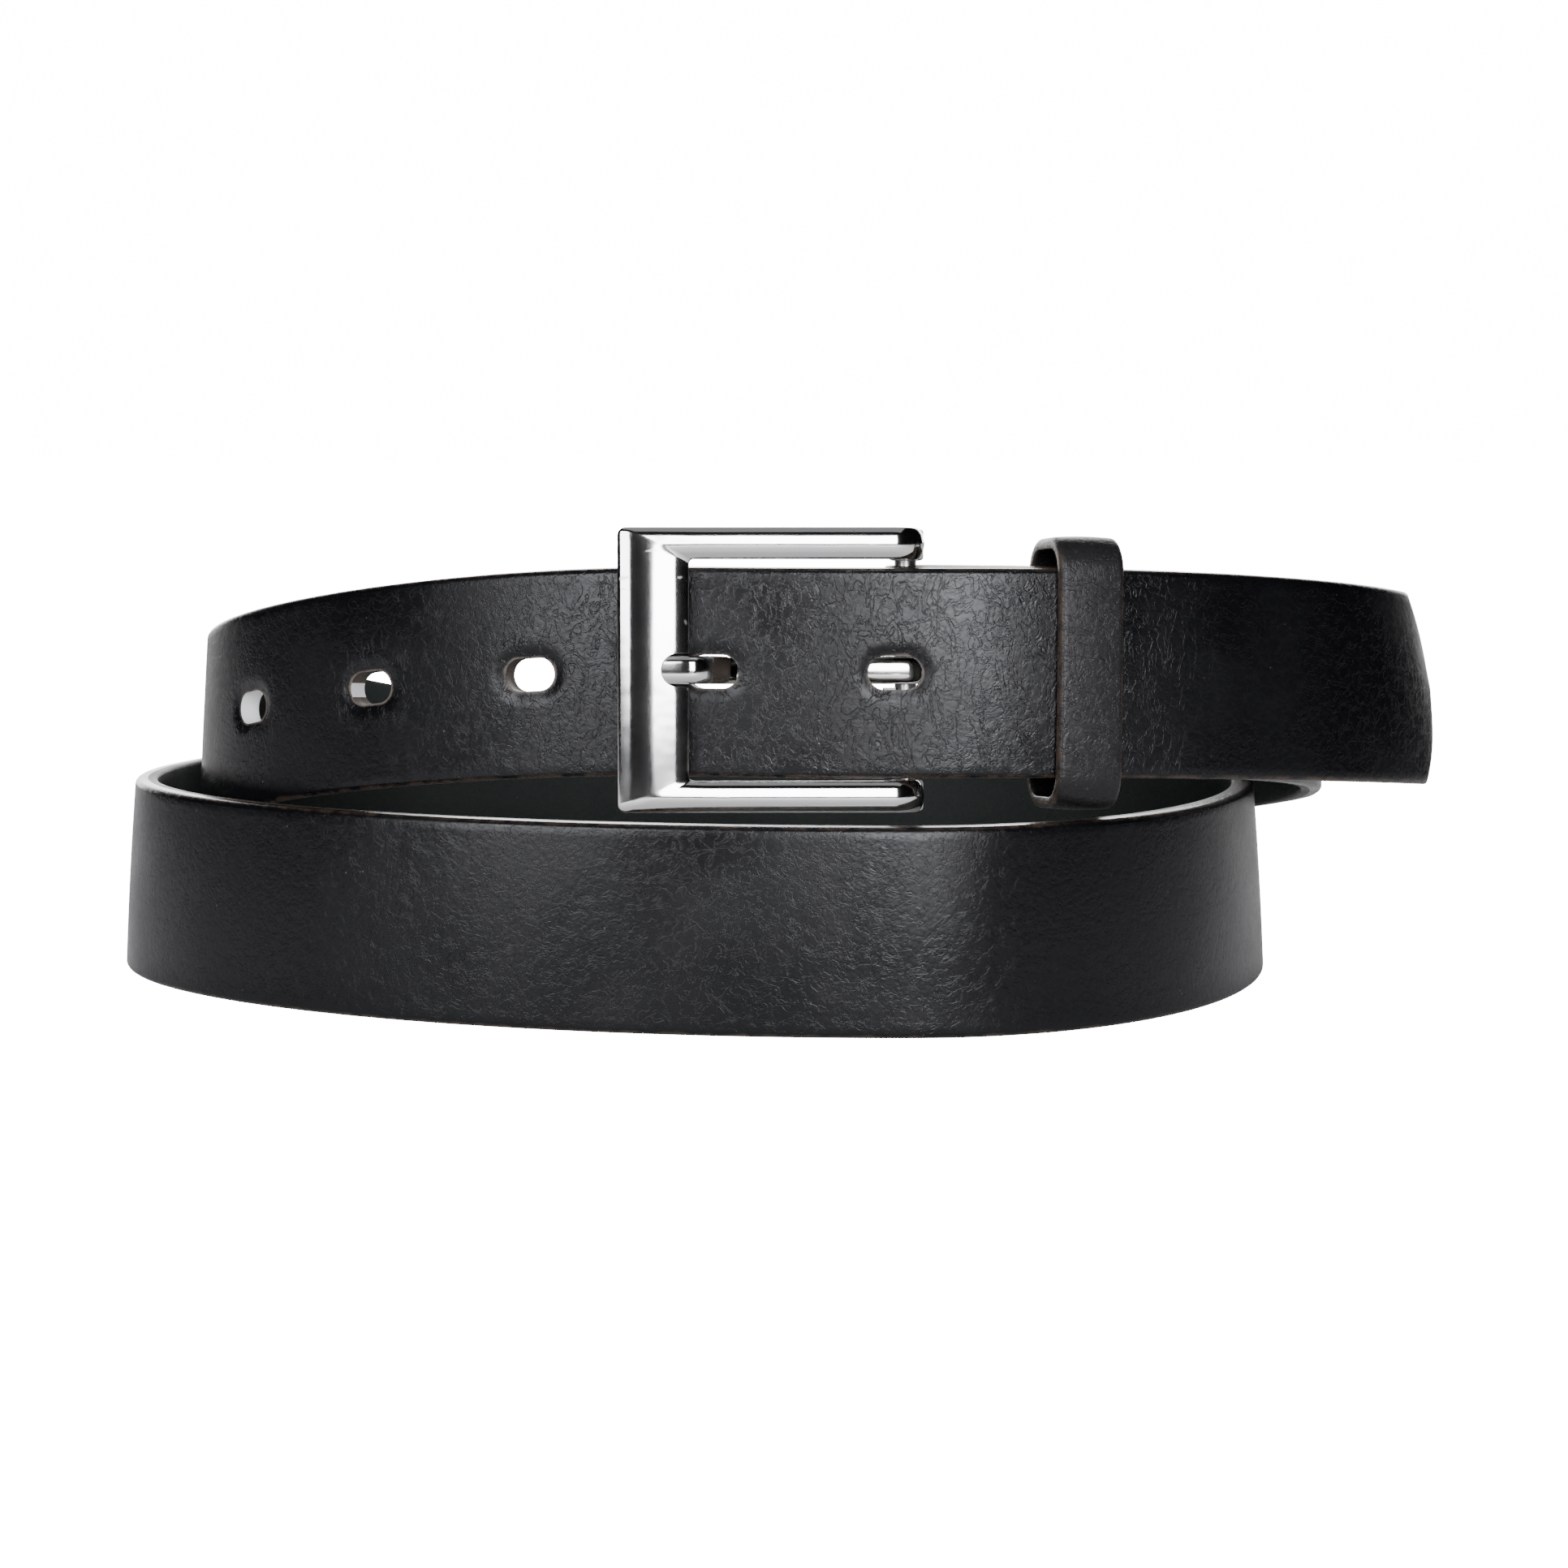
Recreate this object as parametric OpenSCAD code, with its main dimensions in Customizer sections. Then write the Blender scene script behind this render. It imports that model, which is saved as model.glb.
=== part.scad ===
// Leather belt, fastened and coiled twice, standing on its edge

/* [Strap] */
// Width of the strap
strap_w = 28.5; // [24:0.5:34]
// Thickness of the grained face leather
face_t = 1.8; // [1.4:0.1:2.4]
// Thickness of the lining leather
lining_t = 1.5; // [1:0.1:2]
// Distance from one hole to the next
hole_pitch = 25; // [20:0.2:30]
// Number of holes
hole_count = 5; // [3:1:7]
// Length of a hole along the strap
hole_len = 7.4; // [7:0.1:9]
// Distance from the first hole to the point of the tip
tip_len = 94; // [70:1:110]
// Radius of the tip's rounded point
tip_r = 22; // [18:1:40]

/* [Coil] */
// Gap between the lower turn's top edge and the buckle and keeper above it
lift_gap = 0.8; // [0.5:0.1:15]
// Front of the lower turn, forward of the middle
lower_front = 65.5; // [60:0.5:75]
// Left end of the lower turn
lower_left = 115.5; // [111:0.5:130]
// Right end of the lower turn
lower_right = 54.5; // [48:0.5:58]
// Set-back of the upper turn behind the lower turn at the front
upper_setback = 7.5; // [6:0.5:12]
// Left end of the upper turn
upper_left = 105.5; // [98:0.5:108]
// Right end of the upper turn
upper_right = 64; // [61:0.5:75]
// Middle of the upper turn, behind the middle of the lower turn
upper_middle = 9; // [6:0.5:14]
// Side reach that the free tip bends towards
tip_reach = 86; // [80:0.5:100]
// Back of the coil, behind the middle
back_depth = 62; // [54:0.5:75]
// Lean of the lower turn, lower edge outward, in degrees
lower_lean = 4; // [0:0.5:5]
// Lean of the upper turn at the buckle, in degrees
upper_lean = 5; // [0:0.5:7]
// Lean that the free tip bends towards, in degrees
tip_lean = 14; // [0:1:18]

/* [Buckle] */
// Length of the frame along the strap
frame_len = 41.8; // [38:0.2:50]
// Width of the front bar that the prong lies on
front_bar_w = 9.7; // [6:0.1:12]
// Thickness of the front bar and the two arms
frame_t = 2.8; // [2.2:0.1:3.4]
// Height of each arm across the strap
arm_h = 4.3; // [3:0.1:6]
// Diameter of the heel bar
heel_d = 3; // [2.4:0.1:3.6]
// Width of the prong
prong_w = 3.8; // [3:0.1:4.6]
// Thickness of the prong's shank
prong_t = 2.2; // [1.8:0.1:2.6]

/* [Keeper] */
// Width of the keeper along the strap
keeper_w = 9.1; // [7:0.1:10]
// Thickness of the keeper's leather
keeper_t = 1.6; // [1.2:0.1:2.2]
// Room between the strap's edges and the keeper's ends
keeper_room = 2.7; // [1.2:0.1:4]

/* [Fold] */
// Thickness of the skived leather round the heel bar and in the flap
fold_t = 1.3; // [1:0.1:1.6]
// Distance from the heel bar to the first row of stitches
stitch_start = 17.5; // [16:0.5:20]
// Play of the keeper between the two rows of stitches, each way
keeper_play = 1.5; // [0.5:0.1:3]
// Diameter of the sewing thread
thread_d = 0.7; // [0.5:0.05:0.9]
// Distance between stitch holes
stitch_pitch = 3.6; // [3:0.1:5]

/* [Hidden] */
$fn = 48;

strap_t = face_t + lining_t;
loose_gap = 0.3;                                  // between pieces that move past each other
fit_gap = 0.05;                                   // round the heel bar, in the prong's curl
layer_step = strap_t + thread_d + 2 * loose_gap;  // free tip to the layer behind it, middle to middle
back_gap = 1.5;                                   // between the two passes at the back
fullness = 0.55;                                  // of a quarter turn, 0.55 is an ellipse
fold_fullness = 0.64;                             // keeps the layer at the fold close behind the tip
quarter_steps = 20;
side_gap = 0.8;                                   // between the strap's edges and the frame's arms
lift = strap_w + lift_gap + max(side_gap + arm_h, keeper_room + keeper_t);
boss_wall = 0.9;                                  // of the frame round the heel bar's ends
boss_r = heel_d / 2 + boss_wall;
heel_to_bar = frame_len - front_bar_w - boss_r;
prong_lap = 3;                                    // of the prong's end over the front bar
prong_hole = heel_to_bar - prong_lap;             // from the heel bar to the prong's hole
hole_in_use = 1;                                  // counted from the tip, the first is 0

// Distances from the heel bar along the fold
keeper_s = stitch_start + thread_d / 2 + loose_gap + keeper_play + keeper_w / 2;
keeper_reach = keeper_s + keeper_w / 2 + keeper_play;
stitch_end = 2 * keeper_s - stitch_start;
flap_past = 3.5;                                  // of the flap's end past its last stitches
flap_len = stitch_end + flap_past;

level_left = 27;                                  // level stretch through the buckle
level_right = 6;
fall_left = 235;                                  // length over which the strap comes down
fall_right = 255;
fall_tip = 325;

// Quarter points of the two turns, from the fold at the heel bar to the free tip: x, y and lean
back_x = (lower_right - lower_left) / 2;
upper_front = upper_setback - lower_front;
mid_lean = (upper_lean + lower_lean) / 2;
stations = [
    [0, upper_front + layer_step, upper_lean],
    [upper_right, upper_middle, mid_lean],
    [back_x, back_depth, lower_lean],
    [-lower_left, 0, lower_lean],
    [0, -lower_front, lower_lean],
    [lower_right, 0, lower_lean],
    [back_x, back_depth - strap_t - back_gap, lower_lean],
    [-upper_left, upper_middle, mid_lean],
    [0, upper_front, upper_lean],
    [tip_reach, upper_middle]
];

function flat(p) = [p.x, p.y];
function bezier(a, b, c, d, t) =
    a * pow(1 - t, 3) + b * 3 * t * pow(1 - t, 2) + c * 3 * t * t * (1 - t) + d * pow(t, 3);
// Quarter turn j leaves along X and arrives along Y when j is even, and the other way when it is odd
function quarter(j, t) =
    let (a = flat(stations[j]), d = flat(stations[j + 1]),
         step = (j == 0 ? fold_fullness : fullness) * (d - a),
         out = j % 2 == 0 ? [step.x, 0] : [0, step.y])
    bezier(a, a + out, d - (step - out), d, t);

last_quarter = len(stations) - 2;
knots = concat(
    [for (j = [0:last_quarter]) for (i = [0:quarter_steps - 1]) quarter(j, i / quarter_steps)],
    [quarter(last_quarter, 1)]
);
knot_s = [for (i = 0, s = 0; i < len(knots);
    s = s + norm(knots[min(i + 1, len(knots) - 1)] - knots[i]), i = i + 1) s];
x_table = [for (i = [0:len(knots) - 1]) [knot_s[i], knots[i].x]];
y_table = [for (i = [0:len(knots) - 1]) [knot_s[i], knots[i].y]];
over_heel = knot_s[8 * quarter_steps];            // where the free end passes the heel bar
lean_table = concat(
    [for (j = [0:8]) [knot_s[j * quarter_steps], stations[j].z]],
    [[over_heel + keeper_reach, upper_lean], [knot_s[len(knots) - 1], tip_lean]]
);

function unit(v) = v / norm(v);
function plan(s) = [lookup(s, x_table), lookup(s, y_table)];
function along(s) = unit(plan(s + 1) - plan(max(0, s - 1)));
function outward(s) = let (t = along(s)) [t.y, -t.x, 0];
function hill(d, level, fall) = lift * (1 + cos(180 * min(1, max(0, d - level) / fall))) / 2;
function height(s) =
    s > over_heel ? hill(s - over_heel, level_right, fall_tip)
    : s > over_heel / 2 ? hill(over_heel - s, level_left, fall_left)
    : hill(s, level_right, fall_right);
function slope(s) = (height(s + 1) - height(max(0, s - 1))) / (s > 1 ? 2 : s + 1);
function heading(s) = let (t = along(s)) unit([t.x, t.y, slope(s)]);
// Unit direction across the strap, upwards and leaning in
function across(s) =
    let (t = along(s), k = slope(s), up = unit([-k * t.x, -k * t.y, 1]), a = lookup(s, lean_table))
    up * cos(a) - outward(s) * sin(a);

// The origin is under the middle of the whole belt
tip_s = over_heel - prong_hole + hole_in_use * hole_pitch + tip_len;
tip_end = plan(tip_s) + flat(across(tip_s)) * strap_w / 2 + flat(outward(tip_s)) * strap_t / 2;
middle = [tip_end.x - lower_left - strap_t / 2, back_depth - lower_front] / 2;
function lower_edge(s) = concat(plan(s) - middle, height(s));

// The four corners of the strap's section at s, between the offsets v0 and v1 from its middle layer
function corners(s, v0, v1) =
    let (p = lower_edge(s), n = outward(s), w = across(s) * strap_w)
    [p + n * v0, p + n * v1, p + n * v1 + w, p + n * v0 + w];

module sheet(rings) {
    last = len(rings) - 1;
    points = [for (ring = rings) for (p = ring) p];
    ends = [[0, 1, 2, 3], [for (k = [3:-1:0]) 4 * last + k]];
    sides = [for (i = [0:last - 1]) for (k = [0:2])
        for (half = [[4 * i + k, 4 * i + 4 + k, 4 * i + 5 + k], [4 * i + k, 4 * i + 5 + k, 4 * i + 1 + k]])
            half];
    inner = [for (i = [0:last - 1])
        for (half = [[4 * i + 3, 4 * i + 7, 4 * i], [4 * i + 7, 4 * i + 4, 4 * i]]) half];
    polyhedron(points, concat(ends, sides, inner), convexity = 10);
}

// Puts its children on the strap's middle layer, halfway across: X along, Y across, Z outward
module on_strap(s) {
    t = heading(s);
    w = across(s);
    o = cross(t, w);
    p = lower_edge(s) + w * strap_w / 2;
    multmatrix([[t.x, w.x, o.x, p.x], [t.y, w.y, o.y, p.y], [t.z, w.z, o.z, p.z]]) children();
}

module oblong(length, width, depth) {
    for (side = [-1, 1])
        translate([side * (length - width) / 2, 0, -depth / 2]) cylinder(d = width, h = depth);
    translate([-(length - width) / 2, -width / 2, -depth / 2]) cube([length - width, width, depth]);
}

// Fold round the heel bar
fold_clear = 0.3;
fold_in = heel_d / 2 + fold_clear;
heel_v = strap_t / 2 - fold_t - fold_in;          // heel bar's middle, from the strap's middle layer
flap_gap = 0.15;
flap_v = -strap_t / 2 - flap_gap;
join_s = 10;                                      // where the flap meets the lining
slot_len = 14;
slot_h = prong_w + 1;
stitch_count = floor((strap_w - 4) / stitch_pitch / 2) * 2;

function face_depth(s) = lookup(s, [[0, fold_t], [join_s, face_t]]);
function flap_face(s) = lookup(s, [
    [0, heel_v - fold_in],
    [join_s * 0.4, (heel_v - fold_in) * 0.6 + flap_v * 0.4],
    [join_s, flap_v]
]);
function fold_corners(a) =
    let (t = along(0), n = outward(0), w = across(0) * strap_w,
         d = n * sin(a) - [t.x, t.y, 0] * cos(a), c = lower_edge(0) + n * heel_v,
         p = c + d * fold_in, q = c + d * (fold_in + fold_t))
    [p, q, q + w, p + w];

// Holes and tip
hole_h = prong_w + 0.8;
strap_knots = [for (s = knot_s) if (s < tip_s) s];
lining_knots = concat([join_s], [for (s = strap_knots) if (s > join_s + 1) s], [tip_s + 1]);

module tip_cut() {
    difference() {
        translate([-tip_r / 2, -strap_w, -4]) cube([tip_r, 2 * strap_w, 8]);
        translate([-tip_r, 0, -5]) cylinder(r = tip_r, h = 10, $fn = 96);
    }
}

module strap_cuts() {
    for (i = [0:hole_count - 1])
        on_strap(tip_s - tip_len - i * hole_pitch) oblong(hole_len, hole_h, strap_t + 3);
    on_strap(tip_s) tip_cut();
    for (s = [stitch_start, stitch_end])
        on_strap(s) stitch_holes();
}

module stitch_holes() {
    for (i = [0:stitch_count - 1])
        translate([0, (i - (stitch_count - 1) / 2) * stitch_pitch, -strap_t / 2 - fold_t - 1])
            cylinder(d = thread_d + 0.1, h = strap_t + fold_t + 1.4, $fn = 16);
}

module strap_face() {
    flap_knots = [for (i = [0:12]) flap_len * (1 - i / 12)];
    color([0.05, 0.05, 0.06])
    difference() {
        sheet(concat(
            [for (s = flap_knots) if (s > 0.5) corners(s, flap_face(s), flap_face(s) - fold_t)],
            [for (a = [-90:15:75]) fold_corners(a)],
            [for (s = concat(strap_knots, [tip_s + 1])) corners(s, strap_t / 2 - face_depth(s), strap_t / 2)]
        ));
        strap_cuts();
        on_strap(0) translate([1.5, 0, heel_v - 1])
            oblong(slot_len, slot_h, 2 * (fold_in + fold_t) + 2.4);
    }
}

module strap_lining() {
    color([0.1, 0.11, 0.11])
    difference() {
        sheet([for (s = lining_knots) corners(s, -strap_t / 2, strap_t / 2 - face_t)]);
        strap_cuts();
    }
}

module stitch_row(s) {
    front = strap_t / 2;
    back = flap_v - fold_t;
    color([0.04, 0.04, 0.04])
    on_strap(s) {
        for (i = [0:stitch_count - 1])
            translate([0, (i - (stitch_count - 1) / 2) * stitch_pitch, back - thread_d / 2])
                cylinder(d = thread_d, h = front - back + thread_d, $fn = 16);
        for (i = [0:2:stitch_count - 2])
            translate([0, (i - (stitch_count - 1) / 2) * stitch_pitch, front + thread_d / 2])
                rotate([-90, 0, 0]) cylinder(d = thread_d, h = stitch_pitch, $fn = 16);
        for (i = [1:2:stitch_count - 2])
            translate([0, (i - (stitch_count - 1) / 2) * stitch_pitch, back - thread_d / 2])
                rotate([-90, 0, 0]) cylinder(d = thread_d, h = stitch_pitch, $fn = 16);
    }
}

module stitches_by_buckle() stitch_row(stitch_start);
module stitches_by_flap_end() stitch_row(stitch_end);

// Buckle, drawn about the heel bar: X along the strap, Y across, Z outward
frame_h = strap_w + 2 * (side_gap + arm_h);
hook_r = 4.5;
notch_gap = 0.8;                                  // of the front bar's notch, past the prong and round it

module at_heel() {
    on_strap(0) translate([0, 0, heel_v]) children();
}

// A point of the free end's section in the heel bar's own X and Z, d back from the heel bar
function from_heel(d, v) =
    let (s = over_heel - d, t = heading(0), w = across(0), o = cross(t, w),
         p = lower_edge(s) + across(s) * strap_w / 2 + cross(heading(s), across(s)) * v
           - lower_edge(0) - w * strap_w / 2 - o * heel_v)
    [p * t, p * o];
bar_back = from_heel(heel_to_bar, strap_t / 2).y + loose_gap;
bar_front = bar_back + frame_t;

module arm_profile() {
    leg = boss_r - frame_t;
    translate([-heel_to_bar - front_bar_w, bar_back])
        square([heel_to_bar + front_bar_w + boss_r - hook_r, frame_t]);
    translate([boss_r - hook_r, bar_front - hook_r]) intersection() {
        difference() {
            circle(r = hook_r, $fn = 64);
            circle(r = hook_r - frame_t, $fn = 48);
        }
        square(hook_r + 1);
    }
    translate([leg, 0]) square([frame_t, bar_front - hook_r]);
    circle(r = boss_r);
}

module buckle_frame() {
    color([0.8, 0.79, 0.77])
    at_heel() difference() {
        union() {
            for (side = [-1, 1])
                translate([0, side * (frame_h - arm_h) / 2 + arm_h / 2, 0])
                    rotate([90, 0, 0]) linear_extrude(arm_h) arm_profile();
            translate([-heel_to_bar - front_bar_w, -frame_h / 2, bar_back])
                cube([front_bar_w, frame_h, frame_t]);
        }
        rotate([90, 0, 0]) translate([0, 0, -frame_h]) cylinder(d = heel_d, h = 2 * frame_h);
        translate([-heel_to_bar, 0, bar_back + frame_t / 2])
            oblong(2 * (prong_lap + notch_gap), prong_w + notch_gap, frame_t + 2);
    }
}

module heel_bar() {
    color([0.6, 0.6, 0.6])
    at_heel() rotate([90, 0, 0]) translate([0, 0, -frame_h / 2 + 0.3]) cylinder(d = heel_d, h = frame_h - 0.6);
}

// Prong: curl round the heel bar, shank behind the strap, crank through the hole, end over the front bar
prong_gap = 0.6;
curl_r = heel_d / 2 + fold_clear + fold_t;
tip_t = frame_t;
crank = 2;
shank_v = -strap_t / 2 - prong_gap;
end_v = strap_t / 2 + prong_gap;
prong_end = from_heel(heel_to_bar + prong_lap, end_v).x;

module prong_profile() {
    polygon([
        [0, curl_r],
        from_heel(8, shank_v),
        from_heel(prong_hole - crank - 0.9, shank_v),
        from_heel(prong_hole + crank - 1.2, end_v + tip_t),
        from_heel(heel_to_bar + prong_lap, end_v + tip_t),
        from_heel(heel_to_bar + prong_lap, end_v),
        from_heel(prong_hole + crank + 0.4, end_v),
        from_heel(prong_hole - crank + 1, shank_v - prong_t),
        from_heel(8, shank_v - prong_t),
        [0, curl_r - prong_t]
    ]);
    circle(r = curl_r);
}

module prong() {
    color([0.75, 0.74, 0.73])
    at_heel() difference() {
        intersection() {
            rotate([90, 0, 0]) translate([0, 0, -prong_w / 2]) linear_extrude(prong_w) prong_profile();
            translate([prong_end + frame_len / 2, 0, 0]) oblong(frame_len, prong_w, 4 * frame_len);
        }
        rotate([90, 0, 0]) translate([0, 0, -prong_w]) cylinder(r = heel_d / 2 + fit_gap, h = 2 * prong_w);
    }
}

// Keeper, drawn about the free end's middle layer: Z outward
keeper_clear = 0.4;
staple_d = 0.8;
staple_len = 8;
keeper_corner = 5;
keeper_slit = 0.3;                                // between the keeper's two ends
keeper_front = strap_t / 2 + keeper_clear;
layers_apart = norm(plan(over_heel + keeper_reach) - plan(keeper_reach));
keeper_back = layers_apart + strap_t / 2 + flap_gap + fold_t + keeper_clear + staple_d + loose_gap;
keeper_in_h = strap_w + 2 * keeper_room;

module at_keeper() {
    on_strap(over_heel + keeper_s) children();
}

module rounded(size, r) {
    for (x = [-1, 1]) for (y = [-1, 1])
        translate([x * (size.x / 2 - r), y * (size.y / 2 - r)]) circle(r = r);
    square([size.x - 2 * r, size.y], center = true);
    square([size.x, size.y - 2 * r], center = true);
}

module keeper_band() {
    depth = keeper_front + keeper_back;
    color([0.07, 0.06, 0.06])
    at_keeper() difference() {
        translate([-keeper_w / 2, 0, (keeper_front - keeper_back) / 2])
            rotate([90, 0, 90]) linear_extrude(keeper_w) difference() {
                rounded([keeper_in_h + 2 * keeper_t, depth + 2 * keeper_t], keeper_corner);
                rounded([keeper_in_h, depth], keeper_corner - keeper_t);
            }
        translate([-keeper_w, -keeper_slit / 2, -keeper_back - 2 * keeper_t])
            cube([2 * keeper_w, keeper_slit, 2.5 * keeper_t]);
        for (side = [-1, 1])
            translate([0, side * staple_len / 2, -keeper_back - 2 * keeper_t])
                cylinder(d = staple_d + 0.1, h = 3 * keeper_t, $fn = 24);
    }
}

module keeper_staple() {
    crown = -keeper_back - keeper_t - staple_d / 2;
    clinch = -keeper_back + staple_d / 2;
    color([0.55, 0.55, 0.55])
    at_keeper() {
        translate([0, staple_len / 2, crown]) rotate([90, 0, 0]) cylinder(d = staple_d, h = staple_len, $fn = 24);
        for (side = [-1, 1]) {
            translate([0, side * staple_len / 2, crown]) cylinder(d = staple_d, h = clinch - crown, $fn = 24);
            translate([0, side * staple_len / 2, clinch])
                rotate([side * 90, 0, 0]) cylinder(d = staple_d, h = staple_len * 0.3, $fn = 24);
        }
    }
}

strap_face();
strap_lining();
stitches_by_buckle();
stitches_by_flap_end();
buckle_frame();
heel_bar();
prong();
keeper_band();
keeper_staple();
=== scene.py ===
import math
import bpy
import bmesh
import numpy as np
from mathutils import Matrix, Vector
from mathutils.kdtree import KDTree


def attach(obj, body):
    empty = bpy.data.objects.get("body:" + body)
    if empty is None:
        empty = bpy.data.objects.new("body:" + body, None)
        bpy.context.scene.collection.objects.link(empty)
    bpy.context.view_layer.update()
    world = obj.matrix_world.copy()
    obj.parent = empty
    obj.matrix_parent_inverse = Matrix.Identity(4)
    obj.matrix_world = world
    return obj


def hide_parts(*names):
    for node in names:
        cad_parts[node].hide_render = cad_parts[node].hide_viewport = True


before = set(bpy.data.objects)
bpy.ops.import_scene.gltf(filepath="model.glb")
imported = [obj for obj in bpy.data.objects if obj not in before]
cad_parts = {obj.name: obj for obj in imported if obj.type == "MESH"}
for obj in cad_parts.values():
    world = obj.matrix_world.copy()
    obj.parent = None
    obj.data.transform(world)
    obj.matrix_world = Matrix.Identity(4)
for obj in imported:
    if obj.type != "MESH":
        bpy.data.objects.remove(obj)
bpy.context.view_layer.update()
scene = bpy.context.scene
mm = 0.001


# camera, set first so that the rest can be judged from it
view = {"place": (0.0025, -0.52825, 0.089), "pitchDown": 6.7, "lens": 80.2, "sensor": 36, "clip": 0.01}
eye = bpy.data.objects.new("beltCamera", bpy.data.cameras.new("beltCamera"))
eye.location = view["place"]
eye.rotation_euler = (math.radians(90 - view["pitchDown"]), 0, 0)
eye.data.lens = view["lens"]
eye.data.sensor_width = view["sensor"]
eye.data.clip_start = view["clip"]
scene.collection.objects.link(eye)
scene.camera = eye


# the coil's path, in millimetres by length from the heel bar
strap = {
    "width": 28.5, "face": 1.8, "lining": 1.5, "fold": 1.3,
    "holePitch": 25, "holeCount": 5, "holeLength": 7.4, "holeHeight": 4.6,
    "tipLength": 94, "tipRadius": 22, "crown": 0.15, "edgeRadius": 0.8,
    "dent": 0.4, "dentReach": 0.9, "foldClear": 0.3, "flapGap": 0.15, "flapPast": 3.5, "flapJoin": 10,
    "slotLength": 14, "slotHeight": 4.8, "slotShift": 1.5, "slotReach": 4.8, "punchReach": 5,
    "liningRadius": 0.55, "wallBand": 0.2, "edgeBand": 0.25,
}
coil = {
    "lift": 34.4, "lowerFront": 65.5, "lowerLeft": 115.5, "lowerRight": 54.5,
    "setback": 7.5, "upperLeft": 105.5, "upperRight": 64, "upperMiddle": 9,
    "tipReach": 86, "backDepth": 62, "lowerLean": 4, "upperLean": 5, "tipLean": 14,
    "layerStep": 4.6, "backGap": 1.5, "levelLeft": 27, "levelRight": 6,
    "fallLeft": 235, "fallRight": 255, "fallTip": 325,
    "fullness": 0.55, "foldFullness": 0.64, "steps": 20,
}
buckle = {
    "length": 41.8, "bar": 9.7, "thick": 2.8, "arm": 4.3, "heel": 3.0,
    "hook": 4.5, "boss": 2.4, "lap": 3, "sideGap": 0.8, "crown": 0.5, "clear": 0.3,
    "bossEdge": 0.45, "outerCorner": 1.1, "innerCorner": 0.6, "squareness": 0.3,
    "notchLength": 7.6, "notchHeight": 4.6, "notchReach": 4,
    "legStart": 0.2, "armMargin": 2, "barMargin": 1.5,
}
keeper = {
    "width": 9.1, "thick": 1.6, "room": 2.7, "corner": 5, "clear": 0.4, "crown": 0.2, "slit": 0.3,
    "staple": 1.1, "swell": 0.35, "slide": 1.5, "faceRadius": 0.7, "backRadius": 0.2,
}

thick = strap["face"] + strap["lining"]
width = strap["width"]
heelToBar = buckle["length"] - buckle["bar"] - buckle["boss"]
backX = (coil["lowerRight"] - coil["lowerLeft"]) / 2
upperFront = coil["setback"] - coil["lowerFront"]
midLean = (coil["upperLean"] + coil["lowerLean"]) / 2
stations = np.array([
    [0, upperFront + coil["layerStep"], coil["upperLean"]],
    [coil["upperRight"], coil["upperMiddle"], midLean],
    [backX, coil["backDepth"], coil["lowerLean"]],
    [-coil["lowerLeft"], 0, coil["lowerLean"]],
    [0, -coil["lowerFront"], coil["lowerLean"]],
    [coil["lowerRight"], 0, coil["lowerLean"]],
    [backX, coil["backDepth"] - thick - coil["backGap"], coil["lowerLean"]],
    [-coil["upperLeft"], coil["upperMiddle"], midLean],
    [0, upperFront, coil["upperLean"]],
    [coil["tipReach"], coil["upperMiddle"], coil["tipLean"]],
], float)


def quarterTurn(j, t):
    a, d = stations[j][:2], stations[j + 1][:2]
    step = (coil["foldFullness"] if j == 0 else coil["fullness"]) * (d - a)
    out = np.array([step[0], 0]) if j % 2 == 0 else np.array([0, step[1]])
    b, c = a + out, d - (step - out)
    return a * (1 - t) ** 3 + b * 3 * t * (1 - t) ** 2 + c * 3 * t * t * (1 - t) + d * t ** 3


lastTurn = len(stations) - 2
knots = np.array([quarterTurn(j, i / coil["steps"]) for j in range(lastTurn + 1)
                  for i in range(coil["steps"])] + [quarterTurn(lastTurn, 1)])
knotRun = np.concatenate([[0], np.cumsum(np.linalg.norm(np.diff(knots, axis=0), axis=1))])
overHeel = knotRun[8 * coil["steps"]]
stitchRun = [17.5, 30.9]  # from the heel bar to each row
keeperRun = sum(stitchRun) / 2
flapLength = stitchRun[1] + strap["flapPast"]
keeperReach = keeperRun + keeper["width"] / 2 + keeper["slide"]
leanRun = [knotRun[j * coil["steps"]] for j in range(9)] + [overHeel + keeperReach, knotRun[-1]]
leanAt = list(stations[:9, 2]) + [coil["upperLean"], coil["tipLean"]]


def unit(v):
    v = np.asarray(v, float)
    return v / np.linalg.norm(v)


def plan(s):
    u = float(np.interp(s, knotRun, np.arange(len(knotRun))))
    j = min(int(u // coil["steps"]), lastTurn)
    return quarterTurn(j, u / coil["steps"] - j)


def along(s):
    return unit(plan(s + 1) - plan(max(0, s - 1)))


def outward(s):
    t = along(s)
    return np.array([t[1], -t[0], 0])


def hill(d, level, fall):
    return coil["lift"] * (1 + math.cos(math.pi * min(1, max(0, d - level) / fall))) / 2


def height(s):
    if s > overHeel:
        return hill(s - overHeel, coil["levelRight"], coil["fallTip"])
    if s > overHeel / 2:
        return hill(overHeel - s, coil["levelLeft"], coil["fallLeft"])
    return hill(s, coil["levelRight"], coil["fallRight"])


def slope(s):
    return (height(s + 1) - height(max(0, s - 1))) / (2 if s > 1 else s + 1)


def heading(s):
    t = along(s)
    return unit([t[0], t[1], slope(s)])


def across(s):
    t, k = along(s), slope(s)
    lean = math.radians(float(np.interp(s, leanRun, leanAt)))
    return unit([-k * t[0], -k * t[1], 1]) * math.cos(lean) - outward(s) * math.sin(lean)


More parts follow.
